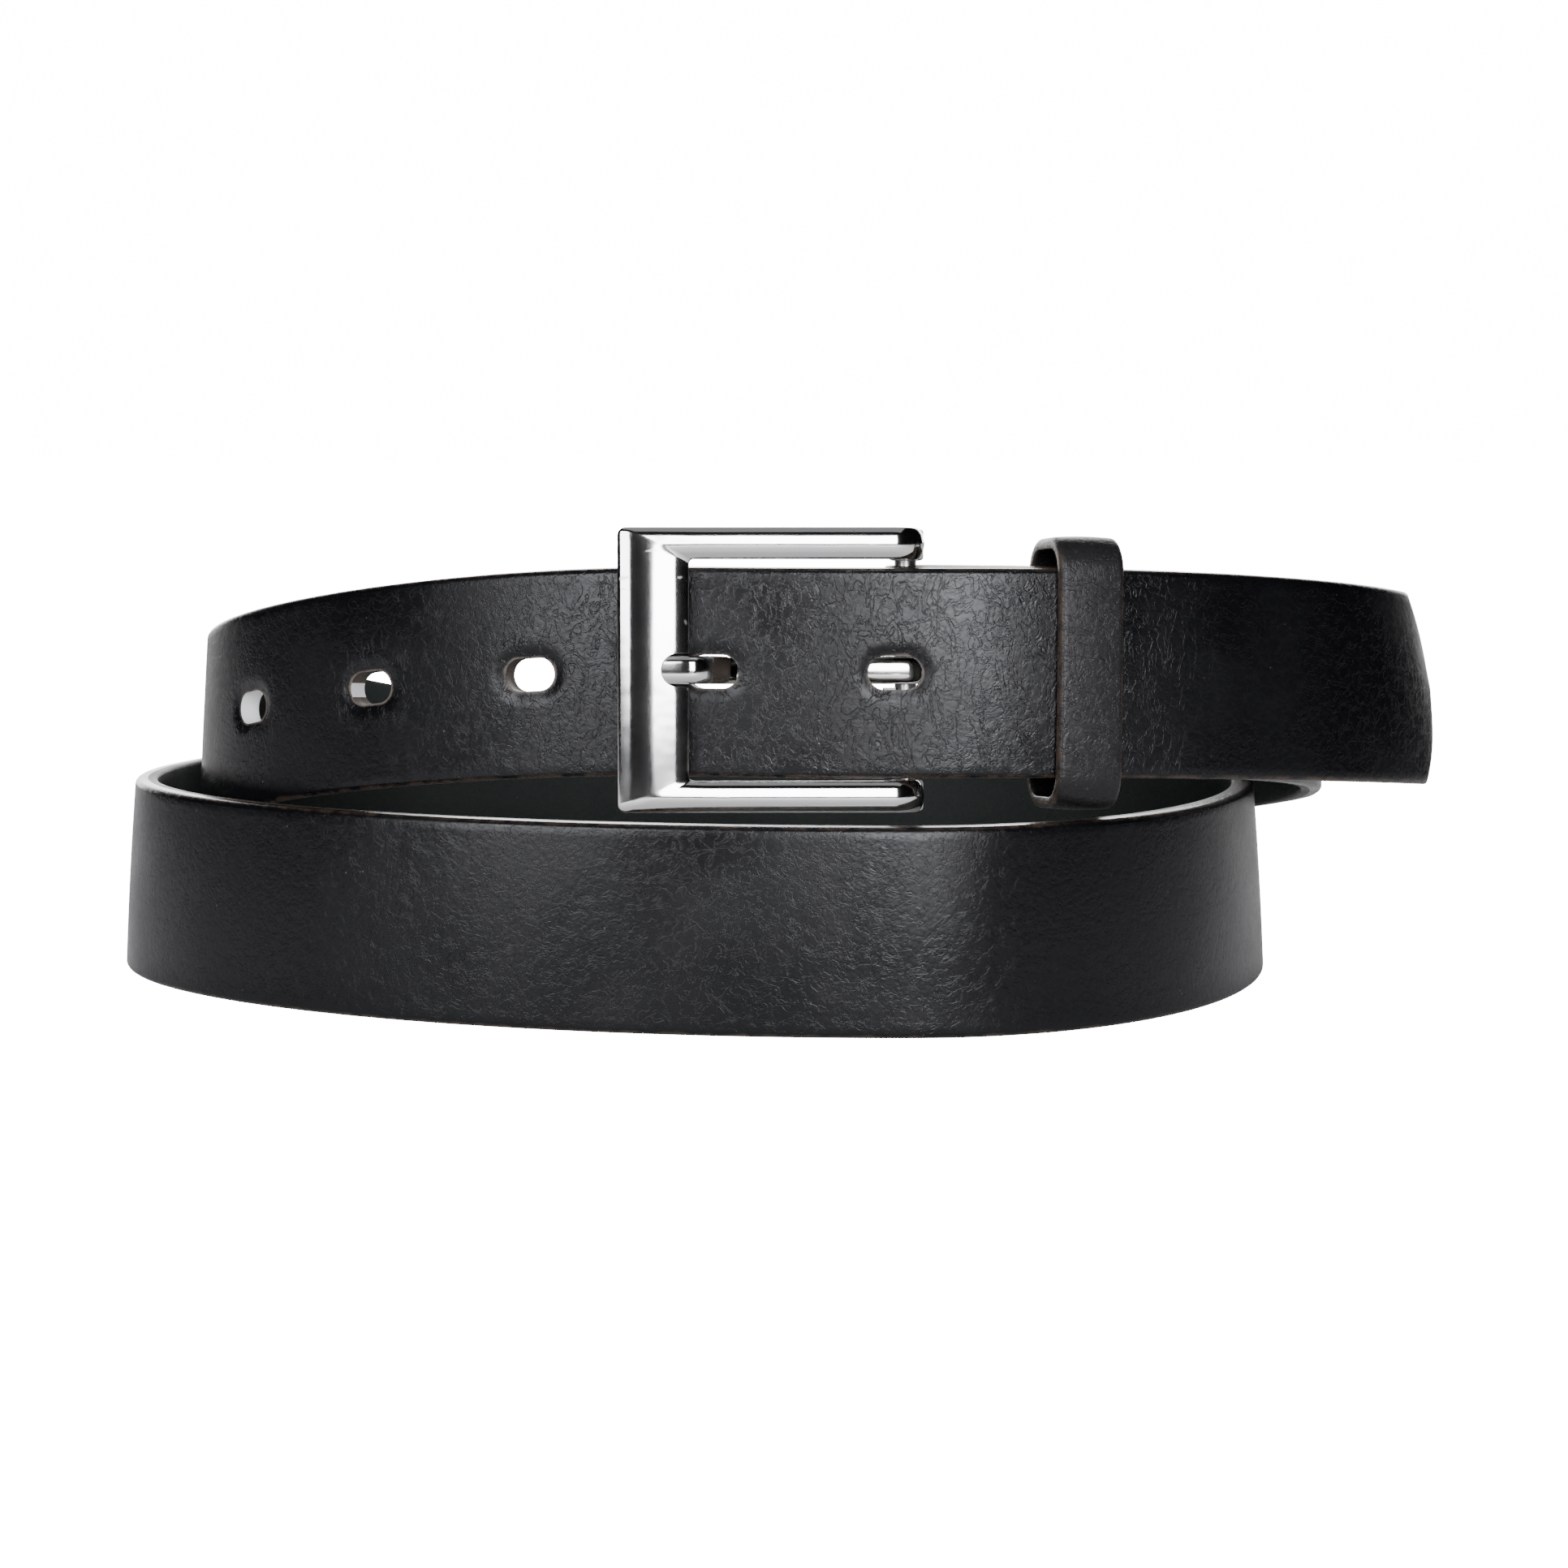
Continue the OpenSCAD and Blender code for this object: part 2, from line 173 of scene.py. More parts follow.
holeToBar = heelToBar - buckle["lap"]
tipRun = overHeel - holeToBar + strap["holePitch"] + strap["tipLength"]
tipEnd = plan(tipRun) + across(tipRun)[:2] * width / 2 + outward(tipRun)[:2] * thick / 2
middle = np.array([tipEnd[0] - coil["lowerLeft"] - thick / 2, coil["backDepth"] - coil["lowerFront"]]) / 2
holeRuns = [tipRun - strap["tipLength"] - i * strap["holePitch"] for i in range(strap["holeCount"])]


def lowerEdge(s):
    p = plan(s) - middle
    return np.array([p[0], p[1], height(s)])


def midFrame(s, v=0.0):
    t, w = heading(s), across(s)
    return lowerEdge(s) + w * width / 2 + np.cross(t, w) * v, t, w, np.cross(t, w)


# one tree sweeps a closed section along a row of rings, for leather and metal alike
def socketOf(tree, name):
    return next(i.identifier for i in tree.interface.items_tree if i.name == name and i.in_out == "INPUT")


def sweepTree():
    tree = bpy.data.node_groups.new("sweepAlong", "GeometryNodeTree")
    face = tree.interface
    face.new_socket("Geometry", in_out="INPUT", socket_type="NodeSocketGeometry")
    face.new_socket("Section", in_out="INPUT", socket_type="NodeSocketObject")
    face.new_socket("Rings", in_out="INPUT", socket_type="NodeSocketInt")
    face.new_socket("Section Points", in_out="INPUT", socket_type="NodeSocketInt")
    face.new_socket("Weld", in_out="INPUT", socket_type="NodeSocketFloat")
    face.new_socket("Finish", in_out="INPUT", socket_type="NodeSocketMaterial")
    face.new_socket("Geometry", in_out="OUTPUT", socket_type="NodeSocketGeometry")
    add, tie = tree.nodes.new, tree.links.new
    start, end = add("NodeGroupInput"), add("NodeGroupOutput")

    grid = add("GeometryNodeMeshGrid")
    grid.inputs["Size X"].default_value = 1
    grid.inputs["Size Y"].default_value = 1
    tie(start.outputs["Rings"], grid.inputs["Vertices X"])
    tie(start.outputs["Section Points"], grid.inputs["Vertices Y"])
    where = add("GeometryNodeInputPosition")
    split = add("ShaderNodeSeparateXYZ")
    tie(where.outputs[0], split.inputs[0])

    def whole(axis, count):
        # a grid place from -0.5 to 0.5 becomes a whole number from 0 to count - 1
        shift, less, times, rounded = (add("ShaderNodeMath") for _ in range(4))
        shift.operation, shift.inputs[1].default_value = "ADD", 0.5
        less.operation, less.inputs[1].default_value = "SUBTRACT", 1
        times.operation, rounded.operation = "MULTIPLY", "ROUND"
        tie(split.outputs[axis], shift.inputs[0])
        tie(start.outputs[count], less.inputs[0])
        tie(shift.outputs[0], times.inputs[0])
        tie(less.outputs[0], times.inputs[1])
        tie(times.outputs[0], rounded.inputs[0])
        return rounded.outputs[0]

    ring, point = whole("X", "Rings"), whole("Y", "Section Points")

    def taken(source, name, kind, index):
        named, sample = add("GeometryNodeInputNamedAttribute"), add("GeometryNodeSampleIndex")
        named.data_type = sample.data_type = kind
        named.inputs["Name"].default_value = name
        tie(source, sample.inputs["Geometry"])
        tie(named.outputs["Attribute"], sample.inputs["Value"])
        tie(index, sample.inputs["Index"])
        return sample.outputs["Value"]

    section = add("GeometryNodeObjectInfo")
    tie(start.outputs["Section"], section.inputs["Object"])
    path, shape = start.outputs["Geometry"], section.outputs["Geometry"]
    centre, deep, wide = (taken(path, n, "FLOAT_VECTOR", ring) for n in ("centre", "deep", "wide"))
    run = taken(path, "run", "FLOAT", ring)
    girth, inDeep, inWide = (taken(shape, n, "FLOAT", point) for n in ("girth", "inDeep", "inWide"))

    def scaled(vector, value):
        n = add("ShaderNodeVectorMath")
        n.operation = "SCALE"
        tie(vector, n.inputs[0])
        tie(value, n.inputs["Scale"])
        return n.outputs[0]

    def added(a, b):
        n = add("ShaderNodeVectorMath")
        n.operation = "ADD"
        tie(a, n.inputs[0])
        tie(b, n.inputs[1])
        return n.outputs[0]

    place = added(added(centre, scaled(deep, inDeep)), scaled(wide, inWide))
    moved = add("GeometryNodeSetPosition")
    pair = add("ShaderNodeCombineXYZ")
    tie(run, pair.inputs[0])
    tie(girth, pair.inputs[1])
    keep = add("GeometryNodeStoreNamedAttribute")
    keep.data_type, keep.domain = "FLOAT2", "CORNER"
    keep.inputs["Name"].default_value = "UVMap"
    weld = add("GeometryNodeMergeByDistance")
    real, coat = add("GeometryNodeRealizeInstances"), add("GeometryNodeSetMaterial")
    # the map is stored before the points move, while the grid places still hold
    tie(grid.outputs["Mesh"], keep.inputs["Geometry"])
    tie(pair.outputs[0], keep.inputs["Value"])
    tie(keep.outputs[0], moved.inputs["Geometry"])
    tie(place, moved.inputs["Position"])
    tie(moved.outputs[0], weld.inputs["Geometry"])
    tie(start.outputs["Weld"], weld.inputs["Distance"])
    tie(weld.outputs[0], real.inputs[0])
    tie(real.outputs[0], coat.inputs["Geometry"])
    tie(start.outputs["Finish"], coat.inputs["Material"])
    tie(coat.outputs[0], end.inputs[0])
    return tree


sweepAlong = sweepTree()


def helperMesh(name, points, columns):
    mesh = bpy.data.meshes.new(name)
    mesh.from_pydata([tuple(p) for p in points], [], [])
    for label, kind, values in columns:
        layer = mesh.attributes.new(label, kind, "POINT")
        field = "vector" if kind == "FLOAT_VECTOR" else "value"
        layer.data.foreach_set(field, np.asarray(values, np.float32).ravel())
    made = bpy.data.objects.new(name, mesh)
    scene.collection.objects.link(made)
    return made


def plainMesh(holder, name):
    # the evaluated shape becomes a plain mesh on an object at the origin
    bpy.context.view_layer.update()
    source = holder.evaluated_get(bpy.context.evaluated_depsgraph_get())
    mesh = bpy.data.meshes.new_from_object(source, preserve_all_data_layers=True,
                                           depsgraph=bpy.context.evaluated_depsgraph_get())
    mesh.name = name
    made = bpy.data.objects.new(name, mesh)
    scene.collection.objects.link(made)
    return made


def swept(name, rings, section, finish):
    # rings hold centre, deep and wide vectors and the run, in mm; section holds shares of deep and wide
    centre, deep, wide = (np.array([r[k] for r in rings]) * mm for k in range(3))
    run = np.array([r[3] for r in rings]) * mm
    loop = np.vstack([section, section[:1]])
    half = len(deep) // 2
    real = loop * [np.linalg.norm(deep[half]), np.linalg.norm(wide[half])]
    girth = np.concatenate([[0], np.cumsum(np.linalg.norm(np.diff(real, axis=0), axis=1))])
    path = helperMesh(name + "Path", centre, [
        ("centre", "FLOAT_VECTOR", centre), ("deep", "FLOAT_VECTOR", deep),
        ("wide", "FLOAT_VECTOR", wide), ("run", "FLOAT", run)])
    shape = helperMesh(name + "Section", [(0, 0, 0)] * len(loop), [
        ("girth", "FLOAT", girth), ("inDeep", "FLOAT", loop[:, 0]), ("inWide", "FLOAT", loop[:, 1])])
    holder = path.modifiers.new("sweep", "NODES")
    holder.node_group = sweepAlong
    for label, value in (("Section", shape), ("Rings", len(rings)), ("Section Points", len(loop)),
                         ("Weld", 1e-6), ("Finish", finish)):
        holder[socketOf(sweepAlong, label)] = value
    made = plainMesh(path, name)
    for spent in (path, shape):
        bpy.data.objects.remove(spent)
    work = bmesh.new()
    work.from_mesh(made.data)
    bmesh.ops.holes_fill(work, edges=[e for e in work.edges if e.is_boundary], sides=0)
    bmesh.ops.recalc_face_normals(work, faces=work.faces)
    work.to_mesh(made.data)
    work.free()
    return made


def softened(piece, degrees):
    piece.data.shade_smooth()
    piece.data.set_sharp_from_angle(angle=math.radians(degrees))


def cutBy(piece, cutters):
    for cutter in cutters:
        cut = piece.modifiers.new("cut", "BOOLEAN")
        cut.operation, cut.solver, cut.object = "DIFFERENCE", "EXACT", cutter
    name = piece.name
    made = plainMesh(piece, name + "Cut")
    old = piece.data
    piece.modifiers.clear()
    piece.data = made.data
    bpy.data.objects.remove(made)
    bpy.data.meshes.remove(old)
    for cutter in cutters:
        bpy.data.objects.remove(cutter)


def oblongLoop(length, high, grow=0.0, count=14):
    r, half = high / 2 + grow, (length - high) / 2
    return [(half * side + r * math.cos(a), r * math.sin(a))
            for side, a0 in ((1, -math.pi / 2), (-1, math.pi / 2))
            for a in (a0 + math.pi * i / count for i in range(count + 1))]


def prismAt(name, place, x, y, z, loop, low, high):
    # a closed prism on a local frame, used as a cutter
    place, x, y, z = (np.asarray(v, float) for v in (place, x, y, z))
    points = [(place + x * a + y * b + z * c) * mm for c in (low, high) for a, b in loop]
    n = len(loop)
    caps = [list(range(n))[::-1], list(range(n, 2 * n))]
    faces = caps + [[i, (i + 1) % n, n + (i + 1) % n, n + i] for i in range(n)]
    mesh = bpy.data.meshes.new(name)
    mesh.from_pydata([tuple(p) for p in points], [], faces)
    work = bmesh.new()
    work.from_mesh(mesh)
    bmesh.ops.recalc_face_normals(work, faces=work.faces)
    work.to_mesh(mesh)
    work.free()
    made = bpy.data.objects.new(name, mesh)
    scene.collection.objects.link(made)
    return made


# finishes: shared effects first, then the materials that use them
def effectGroup(name, inputs, outputs):
    group = bpy.data.node_groups.new(name, "ShaderNodeTree")
    for label, kind, value in inputs:
        s = group.interface.new_socket(label, in_out="INPUT", socket_type=kind)
        if value is not None:
            s.default_value = value
    for label, kind in outputs:
        group.interface.new_socket(label, in_out="OUTPUT", socket_type=kind)
    return group, group.nodes.new("NodeGroupInput"), group.nodes.new("NodeGroupOutput")


def mathNode(tree, operation, a, b=None, clamp=False):
    n = tree.nodes.new("ShaderNodeMath")
    n.operation, n.use_clamp = operation, clamp
    for k, v in enumerate((a, b)):
        if v is None:
            continue
        if isinstance(v, (int, float)):
            n.inputs[k].default_value = v
        else:
            tree.links.new(v, n.inputs[k])
    return n.outputs[0]


def spread(tree, value, low, high, to0=0.0, to1=1.0):
    n = tree.nodes.new("ShaderNodeMapRange")
    n.interpolation_type = "SMOOTHSTEP"
    for k, v in enumerate((value, low, high, to0, to1)):
        if isinstance(v, (int, float)):
            n.inputs[k].default_value = v
        else:
            tree.links.new(v, n.inputs[k])
    return n.outputs[0]


def stretched(tree, vector, scale):
    n = tree.nodes.new("ShaderNodeMapping")
    tree.links.new(vector, n.inputs["Vector"])
    n.inputs["Scale"].default_value = scale
    return n.outputs[0]


def noiseNode(tree, vector, scale, detail=3.0, rough=0.5, distort=0.0):
    n = tree.nodes.new("ShaderNodeTexNoise")
    tree.links.new(vector, n.inputs["Vector"])
    if isinstance(scale, (int, float)):
        n.inputs["Scale"].default_value = scale
    else:
        tree.links.new(scale, n.inputs["Scale"])
    n.inputs["Detail"].default_value = detail
    n.inputs["Roughness"].default_value = rough
    n.inputs["Distortion"].default_value = distort
    return n.outputs["Fac"]


def mixed(tree, factor, a, b):
    n = tree.nodes.new("ShaderNodeMix")
    n.data_type = "RGBA"
    for k, v in ((0, factor), (6, a), (7, b)):
        if isinstance(v, (int, float, tuple)):
            n.inputs[k].default_value = v
        else:
            tree.links.new(v, n.inputs[k])
    return n.outputs[2]


def leatherGrainGroup():
    # fine pebbles, short irregular wrinkles and longer creases across the strap
    g, start, end = effectGroup("leatherGrain", [
        ("Vector", "NodeSocketVector", None), ("Pebble Size", "NodeSocketFloat", 900.0),
        ("Wrinkle Size", "NodeSocketFloat", 260.0), ("Worked", "NodeSocketFloat", 0.0)],
        [("Height", "NodeSocketFloat"), ("Crease", "NodeSocketFloat"), ("Mottle", "NodeSocketFloat")])
    tie, put = g.links.new, start.outputs
    pebble = g.nodes.new("ShaderNodeTexVoronoi")
    pebble.feature = "SMOOTH_F1"
    tie(put["Vector"], pebble.inputs["Vector"])
    tie(put["Pebble Size"], pebble.inputs["Scale"])
    pebble.inputs["Smoothness"].default_value = 0.6
    pores = noiseNode(g, put["Vector"], 2600.0, 2.0)
    wander = noiseNode(g, put["Vector"], put["Wrinkle Size"], 4.0, 0.62, 0.6)
    ridge = mathNode(g, "ABSOLUTE", mathNode(g, "SUBTRACT", wander, 0.5))
    wrinkle = spread(g, ridge, 0.0, 0.05)
    foldSize = mathNode(g, "MULTIPLY", put["Wrinkle Size"], 0.55)
    folds = noiseNode(g, stretched(g, put["Vector"], (1.7, 0.9, 1.0)), foldSize, 3.0, 0.55, 1.1)
    fold = spread(g, mathNode(g, "ABSOLUTE", mathNode(g, "SUBTRACT", folds, 0.5)), 0.0, 0.035)
    broken = spread(g, noiseNode(g, put["Vector"], 90.0, 2.0), 0.4, 0.62)
    stray = mathNode(g, "MULTIPLY", broken, 0.10)
    amount = mathNode(g, "ADD", stray, mathNode(g, "MULTIPLY", put["Worked"], 0.75), True)
    crease = mathNode(g, "MULTIPLY", mathNode(g, "SUBTRACT", 1.0, fold), amount)
    domes = mathNode(g, "MULTIPLY", pebble.outputs["Distance"], -0.42)
    height = mathNode(g, "ADD", domes, mathNode(g, "MULTIPLY", wrinkle, 0.30))
    height = mathNode(g, "ADD", height, mathNode(g, "MULTIPLY", pores, 0.16))
    height = mathNode(g, "SUBTRACT", height, mathNode(g, "MULTIPLY", crease, 1.5))
    tie(height, end.inputs["Height"])
    tie(crease, end.inputs["Crease"])
    tie(noiseNode(g, put["Vector"], 55.0, 4.0), end.inputs["Mottle"])
    return g


def edgeWearGroup():
    # worn colour along an edge, from the distance to it in mm
    g, start, end = effectGroup("edgeWear", [
        ("Vector", "NodeSocketVector", None), ("Gap", "NodeSocketFloat", 5.0),
        ("Reach", "NodeSocketFloat", 0.7)],
        [("Wear", "NodeSocketFloat")])
    uneven = noiseNode(g, start.outputs["Vector"], 420.0, 4.0, 0.6)
    reach = mathNode(g, "MULTIPLY", start.outputs["Reach"], mathNode(g, "MULTIPLY", uneven, 2.0))
    near = mathNode(g, "SUBTRACT", 1.0, spread(g, start.outputs["Gap"], 0.0, reach), True)
    g.links.new(mathNode(g, "MULTIPLY", near, spread(g, uneven, 0.3, 0.6)), end.inputs["Wear"])
    return g


def dustGroup():
    # scattered specks and fine scratches
    g, start, end = effectGroup("dustAndScratches", [
        ("Vector", "NodeSocketVector", None), ("Speck Size", "NodeSocketFloat", 700.0),
        ("Scratch Turn", "NodeSocketVector", (0.0, 0.0, 0.5))],
        [("Specks", "NodeSocketFloat"), ("Scratches", "NodeSocketFloat")])
    speck = g.nodes.new("ShaderNodeTexVoronoi")
    g.links.new(start.outputs["Vector"], speck.inputs["Vector"])
    g.links.new(start.outputs["Speck Size"], speck.inputs["Scale"])
    few = spread(g, noiseNode(g, start.outputs["Vector"], 160.0, 2.0), 0.6, 0.72)
    spots = mathNode(g, "SUBTRACT", 1.0, spread(g, speck.outputs["Distance"], 0.04, 0.16))
    g.links.new(mathNode(g, "MULTIPLY", spots, few), end.inputs["Specks"])
    turn = g.nodes.new("ShaderNodeMapping")
    g.links.new(start.outputs["Vector"], turn.inputs["Vector"])
    g.links.new(start.outputs["Scratch Turn"], turn.inputs["Rotation"])
    turn.inputs["Scale"].default_value = (40.0, 1800.0, 700.0)
    lines = noiseNode(g, turn.outputs[0], 1.0, 2.0)
    g.links.new(spread(g, lines, 0.66, 0.74), end.inputs["Scratches"])
    return g


leatherGrain, edgeWear, dustAndScratches = leatherGrainGroup(), edgeWearGroup(), dustGroup()


def newMaterial(name):
    m = bpy.data.materials.new(name)
    m.use_nodes = True
    return m, m.node_tree, m.node_tree.nodes["Principled BSDF"]


def placed(tree, group, **values):
    n = tree.nodes.new("ShaderNodeGroup")
    n.node_tree = group
    for label, v in values.items():
        s = n.inputs[label.replace("_", " ")]
        if isinstance(v, (int, float, tuple)):
            s.default_value = v
        else:
            tree.links.new(v, s)
    return n


def attributeOf(tree, name):
    n = tree.nodes.new("ShaderNodeAttribute")
    n.attribute_name = name
    return n.outputs["Fac"]


def bumped(tree, shader, height, depth, strength=1.0):
    n = tree.nodes.new("ShaderNodeBump")
    n.inputs["Distance"].default_value = depth
    n.inputs["Strength"].default_value = strength
    tree.links.new(height, n.inputs["Height"])
    tree.links.new(n.outputs[0], shader.inputs["Normal"])


def leatherMaterial(name, look):
    m, t, shader = newMaterial(name)
    run = t.nodes.new("ShaderNodeUVMap")
    run.uv_map = "UVMap"
    uv = run.outputs[0]
    worked = attributeOf(t, "worked")
    grain = placed(t, leatherGrain, Vector=uv, Pebble_Size=look["pebble"], Wrinkle_Size=look["wrinkle"],
                   Worked=worked)
    edge = placed(t, edgeWear, Vector=uv, Gap=attributeOf(t, "edgeGap"), Reach=look["edgeReach"])
    rim = placed(t, edgeWear, Vector=uv, Gap=attributeOf(t, "holeGap"), Reach=look["rimReach"])
    dust = placed(t, dustAndScratches, Vector=uv, Speck_Size=900.0)
    colour = mixed(t, grain.outputs["Mottle"], look["dark"], look["light"])
    # creases are painted darker in the colour: painted shade in the creases, besides their bump
    colour = mixed(t, mathNode(t, "MULTIPLY", grain.outputs["Crease"], 0.6), colour, look["deep"])
    colour = mixed(t, mathNode(t, "MULTIPLY", edge.outputs["Wear"], look["edgeAmount"]), colour, look["worn"])
    colour = mixed(t, rim.outputs["Wear"], colour, look["fibre"])
    colour = mixed(t, mathNode(t, "MULTIPLY", dust.outputs["Specks"], 0.25), colour, (0.30, 0.29, 0.28, 1))
    t.links.new(colour, shader.inputs["Base Color"])
    rough = spread(t, grain.outputs["Mottle"], 0.3, 0.7, look["rough"] - 0.05, look["rough"] + 0.07)
    rough = mathNode(t, "ADD", rough, mathNode(t, "MULTIPLY", rim.outputs["Wear"], 0.4))
    t.links.new(rough, shader.inputs["Roughness"])
    shader.inputs["Specular IOR Level"].default_value = look["specular"]
    bumped(t, shader, grain.outputs["Height"], look["relief"])
    return m


def rawMaterial(name, dark, light, scale, rough=0.9):
    # cut leather walls, painted edges and thread, all fibrous
    m, t, shader = newMaterial(name)
    place = t.nodes.new("ShaderNodeTexCoord").outputs["Object"]
    fibres = noiseNode(t, stretched(t, place, (1.0, 1.0, 1.4)), scale, 5.0, 0.65, 0.8)
    t.links.new(mixed(t, spread(t, fibres, 0.32, 0.68), dark, light), shader.inputs["Base Color"])
    shader.inputs["Roughness"].default_value = rough
    shader.inputs["Specular IOR Level"].default_value = 0.06
    bumped(t, shader, fibres, 0.00018)
    return m


def metalMaterial(name, look):
    m, t, shader = newMaterial(name)
    place = t.nodes.new("ShaderNodeTexCoord").outputs["Object"]
    marks = placed(t, dustAndScratches, Vector=place, Speck_Size=look["pits"], Scratch_Turn=(0.3, 0.9, 0.5))
    tone = noiseNode(t, place, 120.0, 3.0)
    colour = mixed(t, tone, look["cool"], look["warm"])
    colour = mixed(t, mathNode(t, "MULTIPLY", marks.outputs["Specks"], 0.75), colour, look["pit"])
    t.links.new(colour, shader.inputs["Base Color"])
    shader.inputs["Metallic"].default_value = 1.0
    rough = mathNode(t, "ADD", look["rough"], mathNode(t, "MULTIPLY", marks.outputs["Scratches"], 0.14))
    rough = mathNode(t, "ADD", rough, mathNode(t, "MULTIPLY", tone, 0.05))
    t.links.new(rough, shader.inputs["Roughness"])
    waves = mathNode(t, "ADD", noiseNode(t, place, look["wave"], 2.0),
                     mathNode(t, "MULTIPLY", marks.outputs["Specks"], -0.25))
    bumped(t, shader, waves, look["relief"])
    return m


faceLook = {
    "pebble": 1500.0, "wrinkle": 520.0, "rough": 0.26, "specular": 0.30, "relief": 0.000034,
    "edgeReach": 0.55, "edgeAmount": 0.75, "rimReach": 0.34,
    "dark": (0.0016, 0.0017, 0.0022, 1), "light": (0.0038, 0.0038, 0.0048, 1),
    # deep is the colour painted into the creases, a painted shade
    "deep": (0.0015, 0.0015, 0.002, 1), "worn": (0.062, 0.042, 0.030, 1), "fibre": (0.11, 0.09, 0.075, 1),
}
liningLook = dict(
    faceLook, pebble=1800.0, wrinkle=620.0, rough=0.5, specular=0.25, relief=0.00003,
    dark=(0.020, 0.024, 0.023, 1), light=(0.036, 0.041, 0.038, 1),
    # deep is the colour painted into the lining's creases, a painted shade
    deep=(0.016, 0.018, 0.018, 1), worn=(0.075, 0.06, 0.045, 1),
)
keeperLook = dict(
    faceLook, pebble=1400.0, wrinkle=480.0, rough=0.34, relief=0.00006,
    dark=(0.006, 0.0056, 0.006, 1), light=(0.014, 0.013, 0.0135, 1),
)
nickelLook = {
    "cool": (0.74, 0.75, 0.78, 1), "warm": (0.80, 0.77, 0.72, 1), "pit": (0.16, 0.12, 0.10, 1),
    "pits": 620.0, "rough": 0.07, "wave": 160.0, "relief": 0.00003,
}
steelLook = {
    "cool": (0.50, 0.50, 0.51, 1), "warm": (0.56, 0.54, 0.51, 1), "pit": (0.2, 0.17, 0.15, 1),
    "pits": 900.0, "rough": 0.28, "wave": 600.0, "relief": 0.00004,
}
faceFinish = leatherMaterial("blackGrainedLeather", faceLook)
liningFinish = leatherMaterial("smoothLiningLeather", liningLook)
keeperFinish = leatherMaterial("blackKeeperLeather", keeperLook)
holeFinish = rawMaterial("rawHoleWall", (0.012, 0.007, 0.004, 1), (0.060, 0.040, 0.028, 1), 1500.0)
edgeFinish = rawMaterial("paintedStrapEdge", (0.004, 0.004, 0.0045, 1), (0.024, 0.017, 0.013, 1), 900.0, 0.62)
threadFinish = rawMaterial("waxedBlackThread", (0.008, 0.008, 0.009, 1), (0.04, 0.04, 0.042, 1), 2600.0, 0.6)
nickelFinish = metalMaterial("polishedNickel", nickelLook)
steelFinish = metalMaterial("brushedSteel", steelLook)
print("finishes ready")


# leather strap: face with its fold and flap, then the lining
def roundedSection(deep, wide, stops, outerRadius, innerRadius, crown=0.0):
    # deep from -0.5 (inner side) to 0.5 (outer side), wide from -0.5 to 0.5
    loop = []
    corners = [(1, 1, outerRadius), (-1, 1, innerRadius), (-1, -1, innerRadius), (1, -1, outerRadius)]
    for k, (a, b, r) in enumerate(corners):
        centre = (a * (deep / 2 - r), b * (wide / 2 - r))
        for i in range(5 if r > 0.05 else 1):
            q = math.radians(90 * k + 90 * i / 4)
            loop.append((centre[0] + r * math.cos(q), centre[1] + r * math.sin(q)))
        if k == 1:
            flat = wide / 2 - innerRadius - 0.2
            loop += [(-deep / 2, w) for w in sorted(stops, reverse=True) if abs(w) < flat]
        if k == 3:
            flat = wide / 2 - outerRadius - 0.2
            loop += [(deep / 2, w) for w in sorted(stops) if abs(w) < flat]
    made = []
    for d, w in loop:
        if d > 0:
            d += crown * (1 - (2 * w / wide) ** 2)
        made.append((d / deep, w / wide))
    return np.array(made)


foldIn = buckle["heel"] / 2 + strap["foldClear"]
heelV = thick / 2 - strap["fold"] - foldIn


def flapFace(s):
    inner = heelV - foldIn
    flat = -thick / 2 - strap["flapGap"]
    join = strap["flapJoin"]
    return float(np.interp(s, [0, join * 0.4, join], [inner, inner * 0.6 + flat * 0.4, flat]))


def faceDepths(s):
    inner = float(np.interp(s, [0, strap["flapJoin"]], [strap["fold"], strap["face"]]))
    return thick / 2 - inner, thick / 2


def liningDepths(s):
    return -thick / 2, thick / 2 - strap["face"]


def faceRings():
    rings = []
    fold = strap["fold"]
    for s in np.arange(flapLength, 0.4, -0.7):
        rings.append((lowerEdge(s) + outward(s) * (flapFace(s) - fold / 2) + across(s) * width / 2,
                      -outward(s) * fold, across(s) * width, -s - 8))
    t, n, w = along(0), outward(0), across(0)
    flatT = np.array([t[0], t[1], 0])
    for a in range(-90, 90, 6):
        q = math.radians(a)
        d = n * math.sin(q) - flatT * math.cos(q)
        centre = lowerEdge(0) + n * heelV + d * (foldIn + fold / 2) + w * width / 2
        rings.append((centre, d * fold, w * width, (a - 90) / 22))
    return rings + strapRings(0, faceDepths)


def strapRings(first, depths):
    runs = set(np.round(np.arange(first, tipRun - 5.5, 2.0), 3))
    for h in holeRuns:
        runs |= set(np.round(np.arange(h - 6.5, h + 6.5, 0.5), 3))

    def ring(s, share):
        v0, v1 = depths(s)
        w = across(s)
        centre = lowerEdge(s) + outward(s) * (v0 + v1) / 2 + w * width / 2
        return centre, outward(s) * (v1 - v0), w * width * share, s

    ordered = sorted(runs)
    kept = [ordered[0]]
    for s in ordered[1:]:
        if s - kept[-1] > 0.3:
            kept.append(s)
    rings = [ring(s, 1.0) for s in kept]
    # the rounded point
    r = strap["tipRadius"]
    corner = math.asin(width / 2 / r)
    for i in range(15):
        a = corner * (1 - i / 14) + math.radians(1.2) * i / 14
        rings.append(ring(tipRun - r + r * math.cos(a), 2 * r * math.sin(a) / width))
    return rings


acrossStops = list(np.arange(-5.5, 5.51, 0.55)) + [s * v for s in (-1, 1) for v in (6.5, 8, 9.5, 11, 12.5)]
faceSection = roundedSection(strap["face"], width, acrossStops, strap["edgeRadius"], 0.0, strap["crown"])
liningSection = roundedSection(strap["lining"], width, acrossStops, 0.0, strap["liningRadius"])

